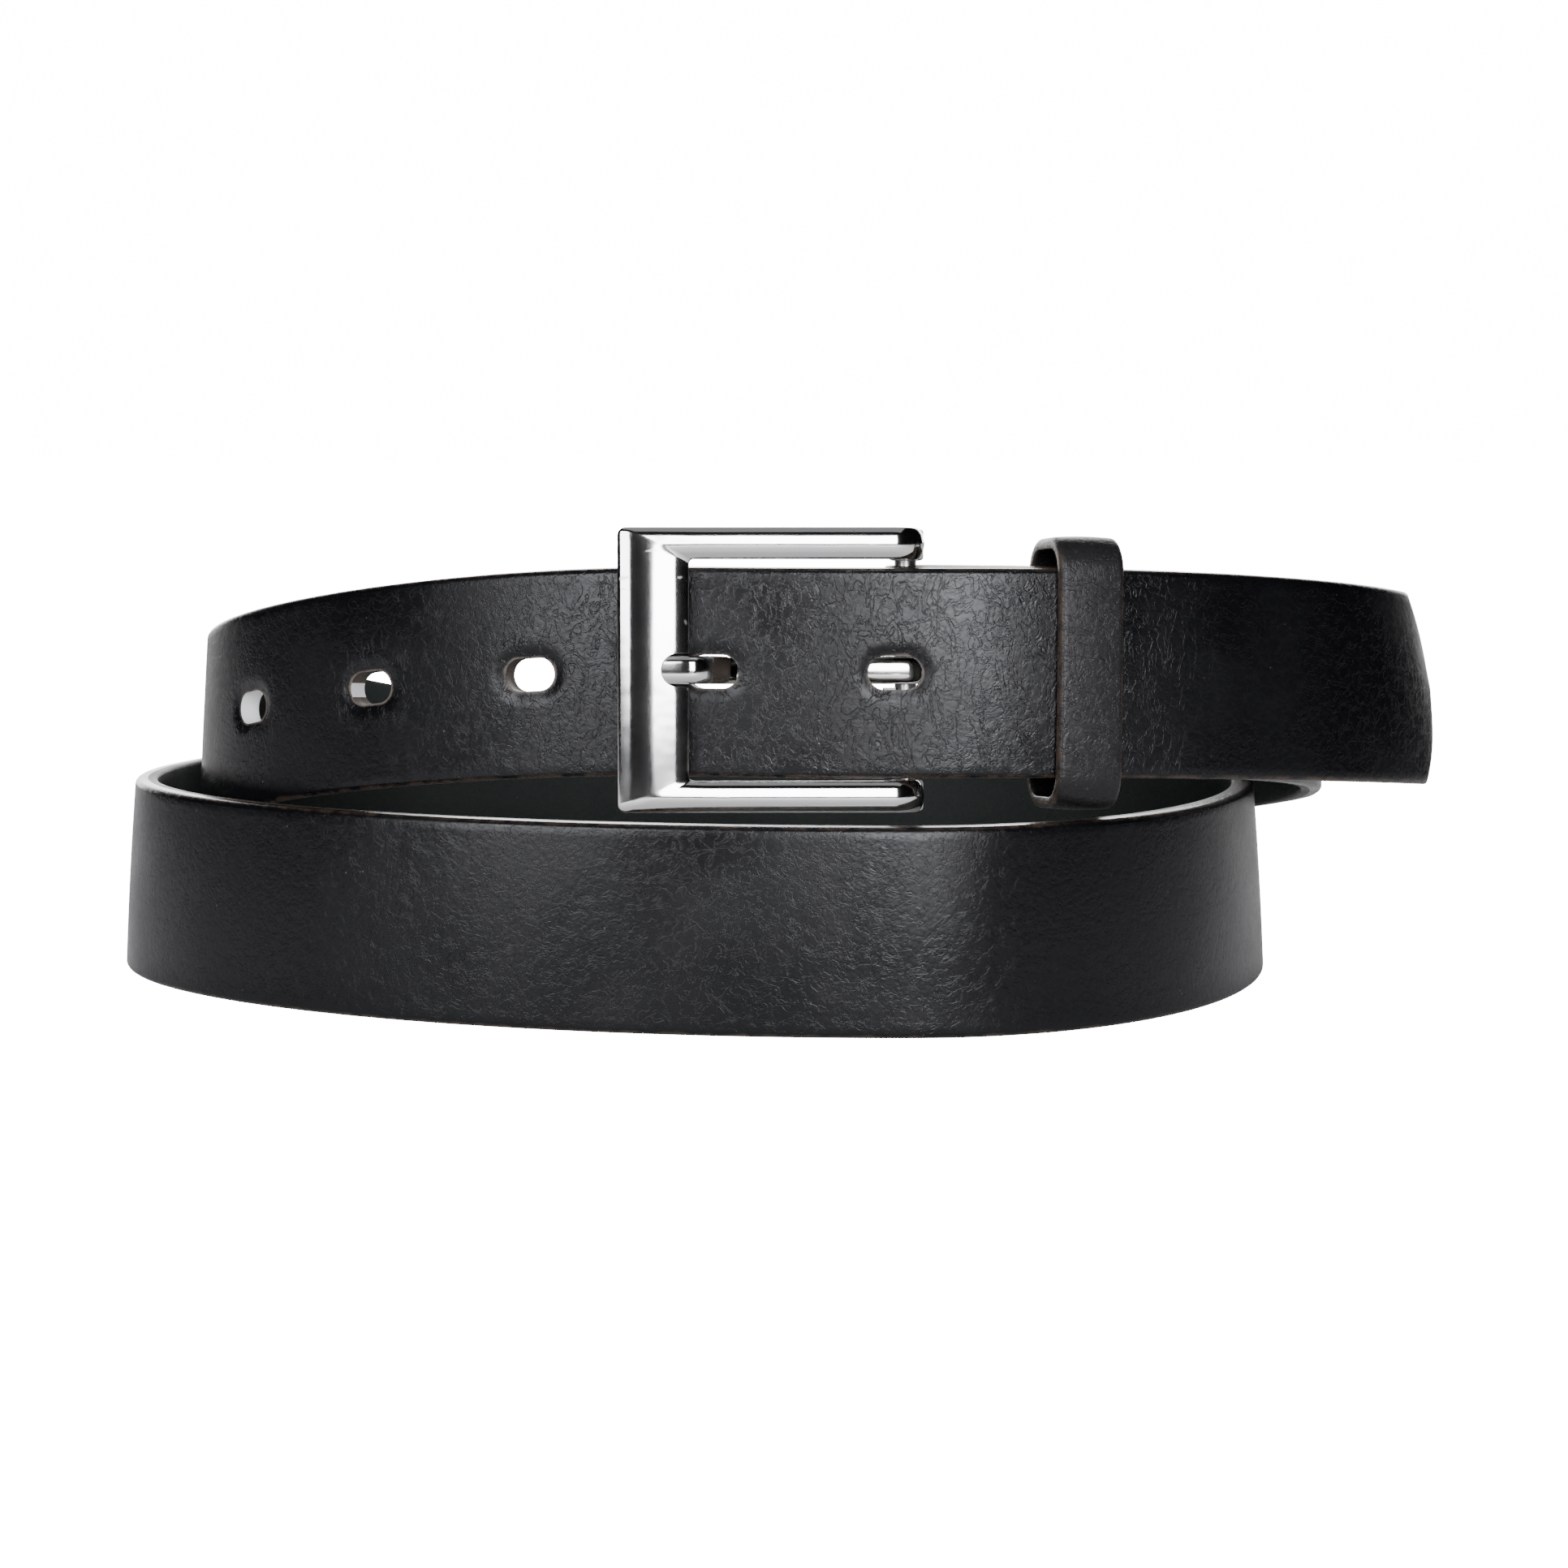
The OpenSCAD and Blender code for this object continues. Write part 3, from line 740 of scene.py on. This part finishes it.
samples = [(s, h) for s in np.arange(0, tipRun, 1.0) for h in np.arange(-14, 14.1, 1.75)]
finder = KDTree(len(samples))
for i, (s, h) in enumerate(samples):
    c, t, w, o = midFrame(s)
    finder.insert(Vector((c + w * h) * mm), i)
finder.balance()
localFrames = {}


def onStrap(point):
    # run, height across and depth of a point, in mm
    _, i, _ = finder.find(point)
    s = samples[i][0]
    if s not in localFrames:
        localFrames[s] = midFrame(s)
    c, t, w, o = localFrames[s]
    d = np.array(point) / mm - c
    return s + float(d @ t), float(d @ w), float(d @ o)


farAway = 9.0  # in mm, past the reach of any wear
bending = {
    "holes": 3.5, "share": 0.85,
    "spots": ((overHeel - heelToBar - 6, 16), (overHeel - 8, 14), (overHeel + keeperRun, 14), (0, 12)),
}


def holeGapAt(s, h):
    best = farAway
    half = (strap["holeLength"] - strap["holeHeight"]) / 2
    for place in holeRuns:
        x = max(0.0, abs(s - place) - half)
        best = min(best, math.hypot(x, h) - strap["holeHeight"] / 2)
    return best


def edgeGapAt(s, h):
    r = strap["tipRadius"]
    gap = width / 2 - abs(h)
    if s > tipRun - r:
        gap = min(gap, r - math.hypot(s - tipRun + r, h))
    return gap


def workedAt(s, h):
    # how much bending the leather has seen: round the holes, the buckle and the keeper; its creases are
    # bumped and also painted darker as painted shade
    amount = math.exp(-(max(0.0, holeGapAt(s, h)) / bending["holes"]) ** 2)
    for place, reach in bending["spots"]:
        amount = max(amount, bending["share"] * math.exp(-((s - place) / reach) ** 2))
    return amount


def markStrap(piece):
    mesh = piece.data
    n = len(mesh.vertices)
    gaps, edges, worked = np.zeros(n), np.zeros(n), np.zeros(n)
    for i, v in enumerate(mesh.vertices):
        s, h, d = onStrap(v.co)
        gaps[i], edges[i], worked[i] = holeGapAt(s, h), edgeGapAt(s, h), workedAt(s, h)
    for label, values in (("holeGap", gaps), ("edgeGap", edges), ("worked", worked)):
        layer = mesh.attributes.get(label) or mesh.attributes.new(label, "FLOAT", "POINT")
        layer.data.foreach_set("value", values.astype(np.float32))


def dentHoles(piece, side):
    # the punch drew the leather in round each hole
    for v in piece.data.vertices:
        s, h, d = onStrap(v.co)
        gap = holeGapAt(s, h)
        if gap < 3.5 and d * side > 0.3:
            push = strap["dent"] * math.exp(-(max(0.0, gap) / strap["dentReach"]) ** 2)
            v.co -= Vector(outward(s) * side * push * mm)


def rawWalls(piece, finish):
    # walls of the holes take the raw finish
    piece.data.materials.append(finish)
    for f in piece.data.polygons:
        s, h, d = onStrap(f.center)
        atWall = abs(holeGapAt(s, h)) < strap["wallBand"] and s > overHeel - 80
        if atWall and abs(f.normal @ Vector(outward(s))) < 0.6:
            f.material_index = 1


def holeCutters():
    made, reach = [], strap["punchReach"]
    for i, s in enumerate(holeRuns):
        loop = oblongLoop(strap["holeLength"], strap["holeHeight"])
        made.append(prismAt(f"punch{i}", *midFrame(s), loop, -reach, reach))
    return made


def paintedEdges(piece, finish):
    # the two long edges and the point are painted
    slot = len(piece.data.materials)
    piece.data.materials.append(finish)
    for f in piece.data.polygons:
        if f.material_index == 0:
            s, h, d = onStrap(f.center)
            if edgeGapAt(s, h) < strap["edgeBand"] and abs(f.normal @ Vector(outward(s))) < 0.75:
                f.material_index = slot


faceLeather = swept("faceLeather", faceRings(), faceSection, faceFinish)
dentHoles(faceLeather, 1)
c, t, w, o = midFrame(0, heelV)
cutters = holeCutters()
slotLoop = oblongLoop(strap["slotLength"], strap["slotHeight"])
cutters.append(prismAt("prongSlot", c + t * strap["slotShift"], t, w, o, slotLoop,
                       -strap["slotReach"], strap["slotReach"]))
cutBy(faceLeather, cutters)
liningRings = strapRings(strap["flapJoin"], liningDepths)
liningLeather = swept("liningLeather", liningRings, liningSection, liningFinish)
cutBy(liningLeather, holeCutters())
for piece, node, slot in ((faceLeather, "strap_face", "face_leather"),
                          (liningLeather, "strap_lining", "lining_leather")):
    rawWalls(piece, holeFinish)
    paintedEdges(piece, edgeFinish)
    markStrap(piece)
    softened(piece, 38)
    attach(piece, "strap")
    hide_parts(node)
print("strap made", len(faceLeather.data.polygons), len(liningLeather.data.polygons))


# buckle frame: one sweep from hook to hook, with mitred corners and a crowned face
heelOrigin, heelX, heelY, heelZ = midFrame(0, heelV)


def fromHeel(back, v):
    s = overHeel - back
    d = midFrame(s, v)[0] - heelOrigin
    return np.array([d @ heelX, d @ heelZ])


def atHeel(x, y, z):
    return heelOrigin + heelX * x + heelY * y + heelZ * z


def turned(x, y, z):
    return heelX * x + heelY * y + heelZ * z


def frameRings():
    frameH = width + 2 * (buckle["sideGap"] + buckle["arm"])
    back = fromHeel(heelToBar, thick / 2)[1] + buckle["clear"]
    mid, half = back + buckle["thick"] / 2, frameH / 2
    innerY = half - buckle["arm"]
    left, inner = -heelToBar - buckle["bar"], -heelToBar
    hookX, hookZ = buckle["boss"] - buckle["hook"], back + buckle["thick"] - buckle["hook"]
    r = buckle["hook"] - buckle["thick"] / 2
    legX = buckle["boss"] - buckle["thick"] / 2
    flatDeep = turned(0, 0, buckle["thick"])

    def leg(side):
        part, y = [], side * (half + innerY) / 2
        armWide = turned(0, side * buckle["arm"], 0)
        for z in np.linspace(buckle["legStart"], hookZ, 5)[:-1]:
            part.append((atHeel(legX, y, z), turned(buckle["thick"], 0, 0), armWide))
        for i in range(13):
            q = math.radians(90 * i / 12)
            d = (math.cos(q), math.sin(q))
            part.append((atHeel(hookX + r * d[0], y, hookZ + r * d[1]),
                         turned(buckle["thick"] * d[0], 0, buckle["thick"] * d[1]), armWide))
        for x in np.linspace(hookX, inner + buckle["armMargin"], 12)[1:]:
            part.append((atHeel(x, y, mid), flatDeep, armWide))
        return part

    def turn(side):
        # the outer corner is softly rounded while the inner one stays tight
        part = []
        ro, ri = buckle["outerCorner"], buckle["innerCorner"]
        for i in range(9):
            a = math.pi / 2 * (i / 8)
            ox, oy = left + ro - ro * math.sin(a), half - ro + ro * math.cos(a)
            ix, iy = inner + ri - ri * math.sin(a), innerY - ri + ri * math.cos(a)
            part.append((atHeel((ox + ix) / 2, side * (oy + iy) / 2, mid), flatDeep,
                         turned(ox - ix, side * (oy - iy), 0)))
        return part

    rings = leg(1) + turn(1)
    end = innerY - buckle["barMargin"]
    for y in np.linspace(end, -end, 20):
        rings.append((atHeel((left + inner) / 2, y, mid), flatDeep, turned(left - inner, 0, 0)))
    rings += turn(-1)[::-1] + leg(-1)[::-1]
    run = 0
    made = []
    for k, (p, d, w) in enumerate(rings):
        if k:
            run += np.linalg.norm(p - rings[k - 1][0])
        made.append((p, d, w, run))
    return made, back


frameRow, barBack = frameRings()
frameSection = []
for q in np.linspace(0, 2 * math.pi, 48, endpoint=False):
    # a rounded bar with a flat back
    c1, s1 = math.cos(q), math.sin(q)
    power = buckle["squareness"]
    deepPart = 0.5 * math.copysign(abs(c1) ** power, c1)
    widePart = 0.5 * math.copysign(abs(s1) ** power, s1)
    if deepPart > 0:
        deepPart *= 1 - buckle["crown"] * (2 * widePart) ** 2
    frameSection.append((deepPart, widePart))
buckleFrame = swept("buckleFrame", frameRow, np.array(frameSection), nickelFinish)
notchAt = atHeel(-heelToBar, 0, barBack + buckle["thick"] / 2)
notchLoop = oblongLoop(buckle["notchLength"], buckle["notchHeight"])
cutBy(buckleFrame, [prismAt("notch", notchAt, heelX, heelY, heelZ, notchLoop,
                            -buckle["notchReach"], buckle["notchReach"])])


def bossMesh(side):
    # a ring round the heel bar's end, turned from a rounded profile
    frameH = width + 2 * (buckle["sideGap"] + buckle["arm"])
    y0, y1 = frameH / 2 - buckle["arm"], frameH / 2
    bore, r, e = buckle["heel"] / 2, buckle["boss"], buckle["bossEdge"]
    profile = [(bore, y0), (r - e, y0), (r - e * 0.3, y0 + e * 0.3), (r, y0 + e), (r, y1 - e),
               (r - e * 0.3, y1 - e * 0.3), (r - e, y1), (bore + 0.1, y1)]
    count = 40
    points = []
    for i in range(count):
        q = 2 * math.pi * i / count
        points += [atHeel(p * math.cos(q), side * y, p * math.sin(q)) * mm for p, y in profile]
    n = len(profile)
    faces = [[i * n + k, i * n + (k + 1) % n, ((i + 1) % count) * n + (k + 1) % n, ((i + 1) % count) * n + k]
             for i in range(count) for k in range(n)]
    return points, faces


work = bmesh.new()
work.from_mesh(buckleFrame.data)
for side in (1, -1):
    points, faces = bossMesh(side)
    verts = [work.verts.new(tuple(p)) for p in points]
    made = [work.faces.new([verts[k] for k in f]) for f in faces]
    bmesh.ops.recalc_face_normals(work, faces=made)
work.to_mesh(buckleFrame.data)
work.free()
softened(buckleFrame, 50)
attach(buckleFrame, "buckle")
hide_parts("buckle_frame")
print("buckle made", len(buckleFrame.data.polygons))


# prong: curl, shank behind the strap, crank through the hole, end over the bar
prong = {
    "width": 3.8, "thick": 2.2, "gap": 0.6, "crank": 2, "shankFrom": 8, "boreGap": 0.05,
    "outerBend": (0.9, 1.2), "innerBend": (1, 0.4), "squareness": 0.6, "easedFrom": 37,
}


def prongRings():
    shank, end = -thick / 2 - prong["gap"], thick / 2 + prong["gap"]
    curl, t, k, hole = foldIn + strap["fold"], prong["thick"], prong["crank"], holeToBar
    tip, top = heelToBar + buckle["lap"], end + buckle["thick"]
    (outLow, outHigh), (inLow, inHigh) = prong["outerBend"], prong["innerBend"]
    outer = [np.array([0, curl]), fromHeel(prong["shankFrom"], shank), fromHeel(hole - k - outLow, shank),
             fromHeel(hole + k - outHigh, top), fromHeel(tip, top)]
    inner = [np.array([0, curl - t]), fromHeel(prong["shankFrom"], shank - t),
             fromHeel(hole - k + inLow, shank - t), fromHeel(hole + k + inHigh, end), fromHeel(tip, end)]
    pairs = []
    bore = buckle["heel"] / 2 + prong["boreGap"]
    for q in np.radians(np.arange(-165, 90, 12)):
        d = np.array([math.cos(q), math.sin(q)])
        pairs.append((d * curl, d * bore))
    for i in range(len(outer) - 1):
        steps = 6
        for j in range(1 if i == 0 else 0, steps):
            f = j / steps
            pairs.append((outer[i] * (1 - f) + outer[i + 1] * f, inner[i] * (1 - f) + inner[i + 1] * f))
    pairs.append((outer[-1], inner[-1]))
    for _ in range(3):
        # ease the bends from the crank's upper part on; the rest keeps its line behind the strap
        eased = [pairs[0]] + [tuple((pairs[i - 1][k] + 2 * pairs[i][k] + pairs[i + 1][k]) / 4 for k in (0, 1))
                              for i in range(1, len(pairs) - 1)] + [pairs[-1]]
        pairs = pairs[:prong["easedFrom"]] + eased[prong["easedFrom"]:]
    rings, run, last = [], 0, None
    for i, (a, b) in enumerate(pairs):
        p = atHeel((a[0] + b[0]) / 2, 0, (a[1] + b[1]) / 2)
        run += 0 if last is None else np.linalg.norm(p - last)
        last = p
        rings.append((p, turned(a[0] - b[0], 0, a[1] - b[1]), turned(0, prong["width"], 0), run))
    # a blunt end with a small rounding
    p, d, w, run = rings[-1]
    for share in (0.93, 0.82):
        rings.append((p + turned(-0.001 - 0.12 * (1 - share), 0, 0), d * share, w * share, run + 0.1))
    return rings


prongSection = []
power = prong["squareness"]
for q in np.linspace(0, 2 * math.pi, 32, endpoint=False):
    c1, s1 = math.cos(q), math.sin(q)
    prongSection.append((0.5 * math.copysign(abs(c1) ** power, c1),
                         0.5 * math.copysign(abs(s1) ** power, s1)))
prongBar = swept("prongBar", prongRings(), np.array(prongSection), nickelFinish)
softened(prongBar, 45)
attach(prongBar, "prong")
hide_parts("prong")
print("prong made")


# keeper: a leather band closed by a staple at the back
layersApart = np.linalg.norm(plan(overHeel + keeperReach) - plan(keeperReach))
keeperFront = thick / 2 + keeper["clear"]
keeperBack = layersApart + thick / 2 + strap["flapGap"] + strap["fold"] + keeper["clear"] + keeper["staple"]
keeperO, keeperX, keeperY, keeperZ = midFrame(overHeel + keeperRun)


def keeperRings():
    t = keeper["thick"]
    halfY, front, back = width / 2 + keeper["room"] + t / 2, keeperFront + t / 2, keeperBack + t / 2
    r = keeper["corner"] - t / 2
    corners = [(-halfY + r, -back + r), (-halfY + r, front - r),
               (halfY - r, front - r), (halfY - r, -back + r)]
    loop = [(-keeper["slit"] / 2 - d, -back, 0, -1) for d in np.linspace(0, halfY - r - 1, 6)]
    for k, (y, z) in enumerate(corners):
        # round the loop from the back, by the lower end, to the front and over the top
        for i in range(11):
            q = math.radians(270 - 90 * k - 9 * i)
            loop.append((y + r * math.cos(q), z + r * math.sin(q), math.cos(q), math.sin(q)))
        if k == 1:
            for f in np.linspace(0, 1, 20)[1:-1]:
                loop.append((y * (1 - 2 * f), front, 0, 1))
        elif k in (0, 2):
            z1 = corners[k + 1][1]
            for f in np.linspace(0, 1, 5)[1:-1]:
                loop.append((y + (-r if k == 0 else r), z * (1 - f) + z1 * f, -1 if k == 0 else 1, 0))
    loop += [(keeper["slit"] / 2 + d, -back, 0, -1) for d in np.linspace(halfY - r - 1, 0, 6)]
    rings, run, last = [], 0, None
    for y, z, ny, nz in loop:
        swell = keeper["swell"] * (1 - (y / halfY) ** 2) if nz > 0.5 else 0
        p = keeperO + keeperY * y + keeperZ * (z + swell)
        run += 0 if last is None else np.linalg.norm(p - last)
        last = p
        rings.append((p, (keeperY * ny + keeperZ * nz) * t, keeperX * keeper["width"], run))
    return rings


keeperStops = list(np.linspace(-3.6, 3.6, 9))
keeperSection = roundedSection(keeper["thick"], keeper["width"], keeperStops,
                               keeper["faceRadius"], keeper["backRadius"], keeper["crown"])
keeperBand = swept("keeperBand", keeperRings(), keeperSection, keeperFinish)
keeperBand.data.materials.append(holeFinish)
n = len(keeperBand.data.vertices)
alongBand = [float((np.array(v.co) / mm - keeperO) @ keeperX) for v in keeperBand.data.vertices]
edges = keeper["width"] / 2 - np.abs(alongBand)
for label, values in (("holeGap", np.full(n, farAway)), ("edgeGap", edges), ("worked", np.full(n, 0.35))):
    layer = keeperBand.data.attributes.new(label, "FLOAT", "POINT")
    layer.data.foreach_set("value", values.astype(np.float32))
softened(keeperBand, 50)
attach(keeperBand, "keeper")
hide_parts("keeper_band")
print("keeper made")


# stitches: a row of thread loops laid by one tree
sewing = {"pitch": 3.6, "thread": 0.7}


def stitchTree():
    tree = bpy.data.node_groups.new("stitchRow", "GeometryNodeTree")
    face = tree.interface
    for label, kind in (("Count", "NodeSocketInt"), ("Pitch", "NodeSocketFloat"),
                        ("Thread", "NodeSocketFloat"), ("Seed", "NodeSocketInt"),
                        ("Finish", "NodeSocketMaterial")):
        face.new_socket(label, in_out="INPUT", socket_type=kind)
    face.new_socket("Geometry", in_out="OUTPUT", socket_type="NodeSocketGeometry")
    add, tie = tree.nodes.new, tree.links.new
    start, end = add("NodeGroupInput"), add("NodeGroupOutput")
    line, offset = add("GeometryNodeMeshLine"), add("ShaderNodeCombineXYZ")
    double = add("ShaderNodeMath")
    double.operation, double.inputs[1].default_value = "MULTIPLY", 2.0
    tie(start.outputs["Pitch"], double.inputs[0])
    tie(double.outputs[0], offset.inputs["X"])
    tie(offset.outputs[0], line.inputs["Offset"])
    tie(start.outputs["Count"], line.inputs["Count"])
    # one stitch is a low arch with its ends going down into the leather
    arch = add("GeometryNodeCurvePrimitiveBezierSegment")
    left, top, right = (add("ShaderNodeCombineXYZ") for _ in range(3))
    arch.mode, arch.inputs["Resolution"].default_value = "POSITION", 10
    down = add("ShaderNodeMath")
    down.operation, down.inputs[1].default_value = "MULTIPLY", -1.0
    tie(start.outputs["Thread"], down.inputs[0])
    tie(down.outputs[0], left.inputs["Z"])
    tie(start.outputs["Thread"], top.inputs["Z"])
    tie(start.outputs["Pitch"], right.inputs["X"])
    tie(down.outputs[0], right.inputs["Z"])
    second = add("ShaderNodeCombineXYZ")
    tie(start.outputs["Pitch"], second.inputs["X"])
    tie(start.outputs["Thread"], second.inputs["Z"])
    for source, label in ((left, "Start"), (top, "Start Handle"), (second, "End Handle"), (right, "End")):
        tie(source.outputs[0], arch.inputs[label])
    ring, tube = add("GeometryNodeCurvePrimitiveCircle"), add("GeometryNodeCurveToMesh")
    ring.inputs["Resolution"].default_value = 8
    half = add("ShaderNodeMath")
    half.operation, half.inputs[1].default_value = "MULTIPLY", 0.5
    tie(start.outputs["Thread"], half.inputs[0])
    tie(half.outputs[0], ring.inputs["Radius"])
    tie(arch.outputs[0], tube.inputs["Curve"])
    tie(ring.outputs[0], tube.inputs["Profile Curve"])
    tube.inputs["Fill Caps"].default_value = True
    spots, turn = add("GeometryNodeInstanceOnPoints"), add("FunctionNodeRandomValue")
    turn.data_type = "FLOAT_VECTOR"
    turn.inputs[0].default_value = (-0.03, -0.02, -0.06)
    turn.inputs[1].default_value = (0.03, 0.02, 0.06)
    tie(start.outputs["Seed"], turn.inputs["Seed"])
    tie(line.outputs[0], spots.inputs["Points"])
    tie(tube.outputs[0], spots.inputs["Instance"])
    tie(turn.outputs[0], spots.inputs["Rotation"])
    real, coat = add("GeometryNodeRealizeInstances"), add("GeometryNodeSetMaterial")
    tie(spots.outputs[0], real.inputs[0])
    tie(real.outputs[0], coat.inputs["Geometry"])
    tie(start.outputs["Finish"], coat.inputs["Material"])
    tie(coat.outputs[0], end.inputs[0])
    return tree


stitchRow = stitchTree()
for name, node, run in (("stitchesByBuckle", "stitches_by_buckle", stitchRun[0]),
                        ("stitchesByFlapEnd", "stitches_by_flap_end", stitchRun[1])):
    c, t, w, o = midFrame(run)
    parts = []
    frontV, backV = thick / 2, -thick / 2 - strap["flapGap"] - strap["fold"]
    for side, level, first, count in ((1, frontV, 0, 3), (-1, backV, 1, 2)):
        holder = helperMesh(name + "Holder", [(0, 0, 0)], [])
        row = holder.modifiers.new("row", "NODES")
        row.node_group = stitchRow
        for label, value in (("Count", count), ("Pitch", sewing["pitch"] * mm),
                             ("Thread", sewing["thread"] * mm), ("Seed", 5 + side),
                             ("Finish", threadFinish)):
            row[socketOf(stitchRow, label)] = value
        part = plainMesh(holder, name + str(side))
        bpy.data.objects.remove(holder)
        for v in part.data.vertices:
            x, y, z = (a / mm for a in v.co)
            up = x + (first - 2.5) * sewing["pitch"]
            v.co = Vector((c + w * up + t * y * side + o * (level + side * z * 0.8)) * mm)
        parts.append(part)
    work = bmesh.new()
    for part in parts:
        work.from_mesh(part.data)
        bpy.data.objects.remove(part)
    bmesh.ops.recalc_face_normals(work, faces=work.faces)
    mesh = bpy.data.meshes.new(name)
    work.to_mesh(mesh)
    work.free()
    mesh.materials.append(threadFinish)
    row = bpy.data.objects.new(name, mesh)
    scene.collection.objects.link(row)
    softened(row, 60)
    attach(row, "strap")
    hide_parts(node)
print("stitches made")


# the heel bar and the keeper's staple keep their own shape
for node in ("heel_bar", "keeper_staple"):
    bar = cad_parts[node]
    bar.data.materials.clear()
    bar.data.materials.append(steelFinish)


# floor, backdrop and light
studio = {"floor": 3.0, "floorGlow": 0.03, "white": 16.0, "front": 0.004, "behind": 9.0,
          "leftPower": 17.0, "rightPower": 30.0, "topPower": 2.0}


def stageMaterial():
    m, t, shader = newMaterial("paleFloor")
    place = t.nodes.new("ShaderNodeTexCoord").outputs["Object"]
    cloud = noiseNode(t, place, 3.0)
    t.links.new(mixed(t, cloud, (0.90, 0.90, 0.90, 1), (0.93, 0.93, 0.93, 1)), shader.inputs["Base Color"])
    shader.inputs["Roughness"].default_value = 0.9
    shader.inputs["Emission Color"].default_value = (1, 1, 1, 1)
    seen = t.nodes.new("ShaderNodeLightPath").outputs["Is Camera Ray"]
    glow = spread(t, seen, 0.0, 1.0, studio["floorGlow"], studio["white"])
    t.links.new(glow, shader.inputs["Emission Strength"])
    return m


def floorPlane():
    r = studio["floor"]
    mesh = bpy.data.meshes.new("studioFloor")
    mesh.from_pydata([(-r, -r, 0), (r, -r, 0), (r, r, 0), (-r, r, 0)], [], [(0, 1, 2, 3)])
    mesh.materials.append(stageMaterial())
    made = bpy.data.objects.new("studioFloor", mesh)
    scene.collection.objects.link(made)


def softbox(name, azimuth, distance, centreZ, wide, high, power):
    # azimuth in degrees from straight in front, positive to the right
    a = math.radians(azimuth)
    lamp = bpy.data.lights.new(name, "AREA")
    lamp.shape, lamp.size, lamp.size_y, lamp.energy = "RECTANGLE", wide, high, power
    lamp.color = (0.95, 0.96, 1.0)
    made = bpy.data.objects.new(name, lamp)
    made.location = (distance * math.sin(a), -distance * math.cos(a), centreZ)
    toward = Vector((0, 0, 0.035)) - made.location
    made.rotation_euler = toward.to_track_quat("-Z", "Y").to_euler()
    made.visible_camera = False
    scene.collection.objects.link(made)


floorPlane()
softbox("leftSoftbox", azimuth=-36, distance=1.5, centreZ=0.57, wide=0.64, high=0.84,
        power=studio["leftPower"])
softbox("rightSoftbox", azimuth=8, distance=1.6, centreZ=0.59, wide=0.60, high=0.88,
        power=studio["rightPower"])
softbox("topSoftbox", azimuth=0, distance=0.25, centreZ=1.5, wide=1.6, high=1.2,
        power=studio["topPower"])

world = bpy.data.worlds.new("studioWorld")
scene.world = world
world.use_nodes = True
wt = world.node_tree
back = wt.nodes["Background"]
seen = wt.nodes.new("ShaderNodeLightPath")
turn = wt.nodes.new("ShaderNodeTexCoord")
parts = wt.nodes.new("ShaderNodeSeparateXYZ")
wt.links.new(turn.outputs["Generated"], parts.inputs[0])
fade = spread(wt, parts.outputs["Y"], 0.70, 1.0, studio["front"], studio["behind"])
seenWhite = mathNode(wt, "MULTIPLY", seen.outputs["Is Camera Ray"], studio["white"])
wt.links.new(mathNode(wt, "MAXIMUM", fade, seenWhite), back.inputs["Strength"])
back.inputs["Color"].default_value = (1, 1, 1, 1)
print("studio ready")
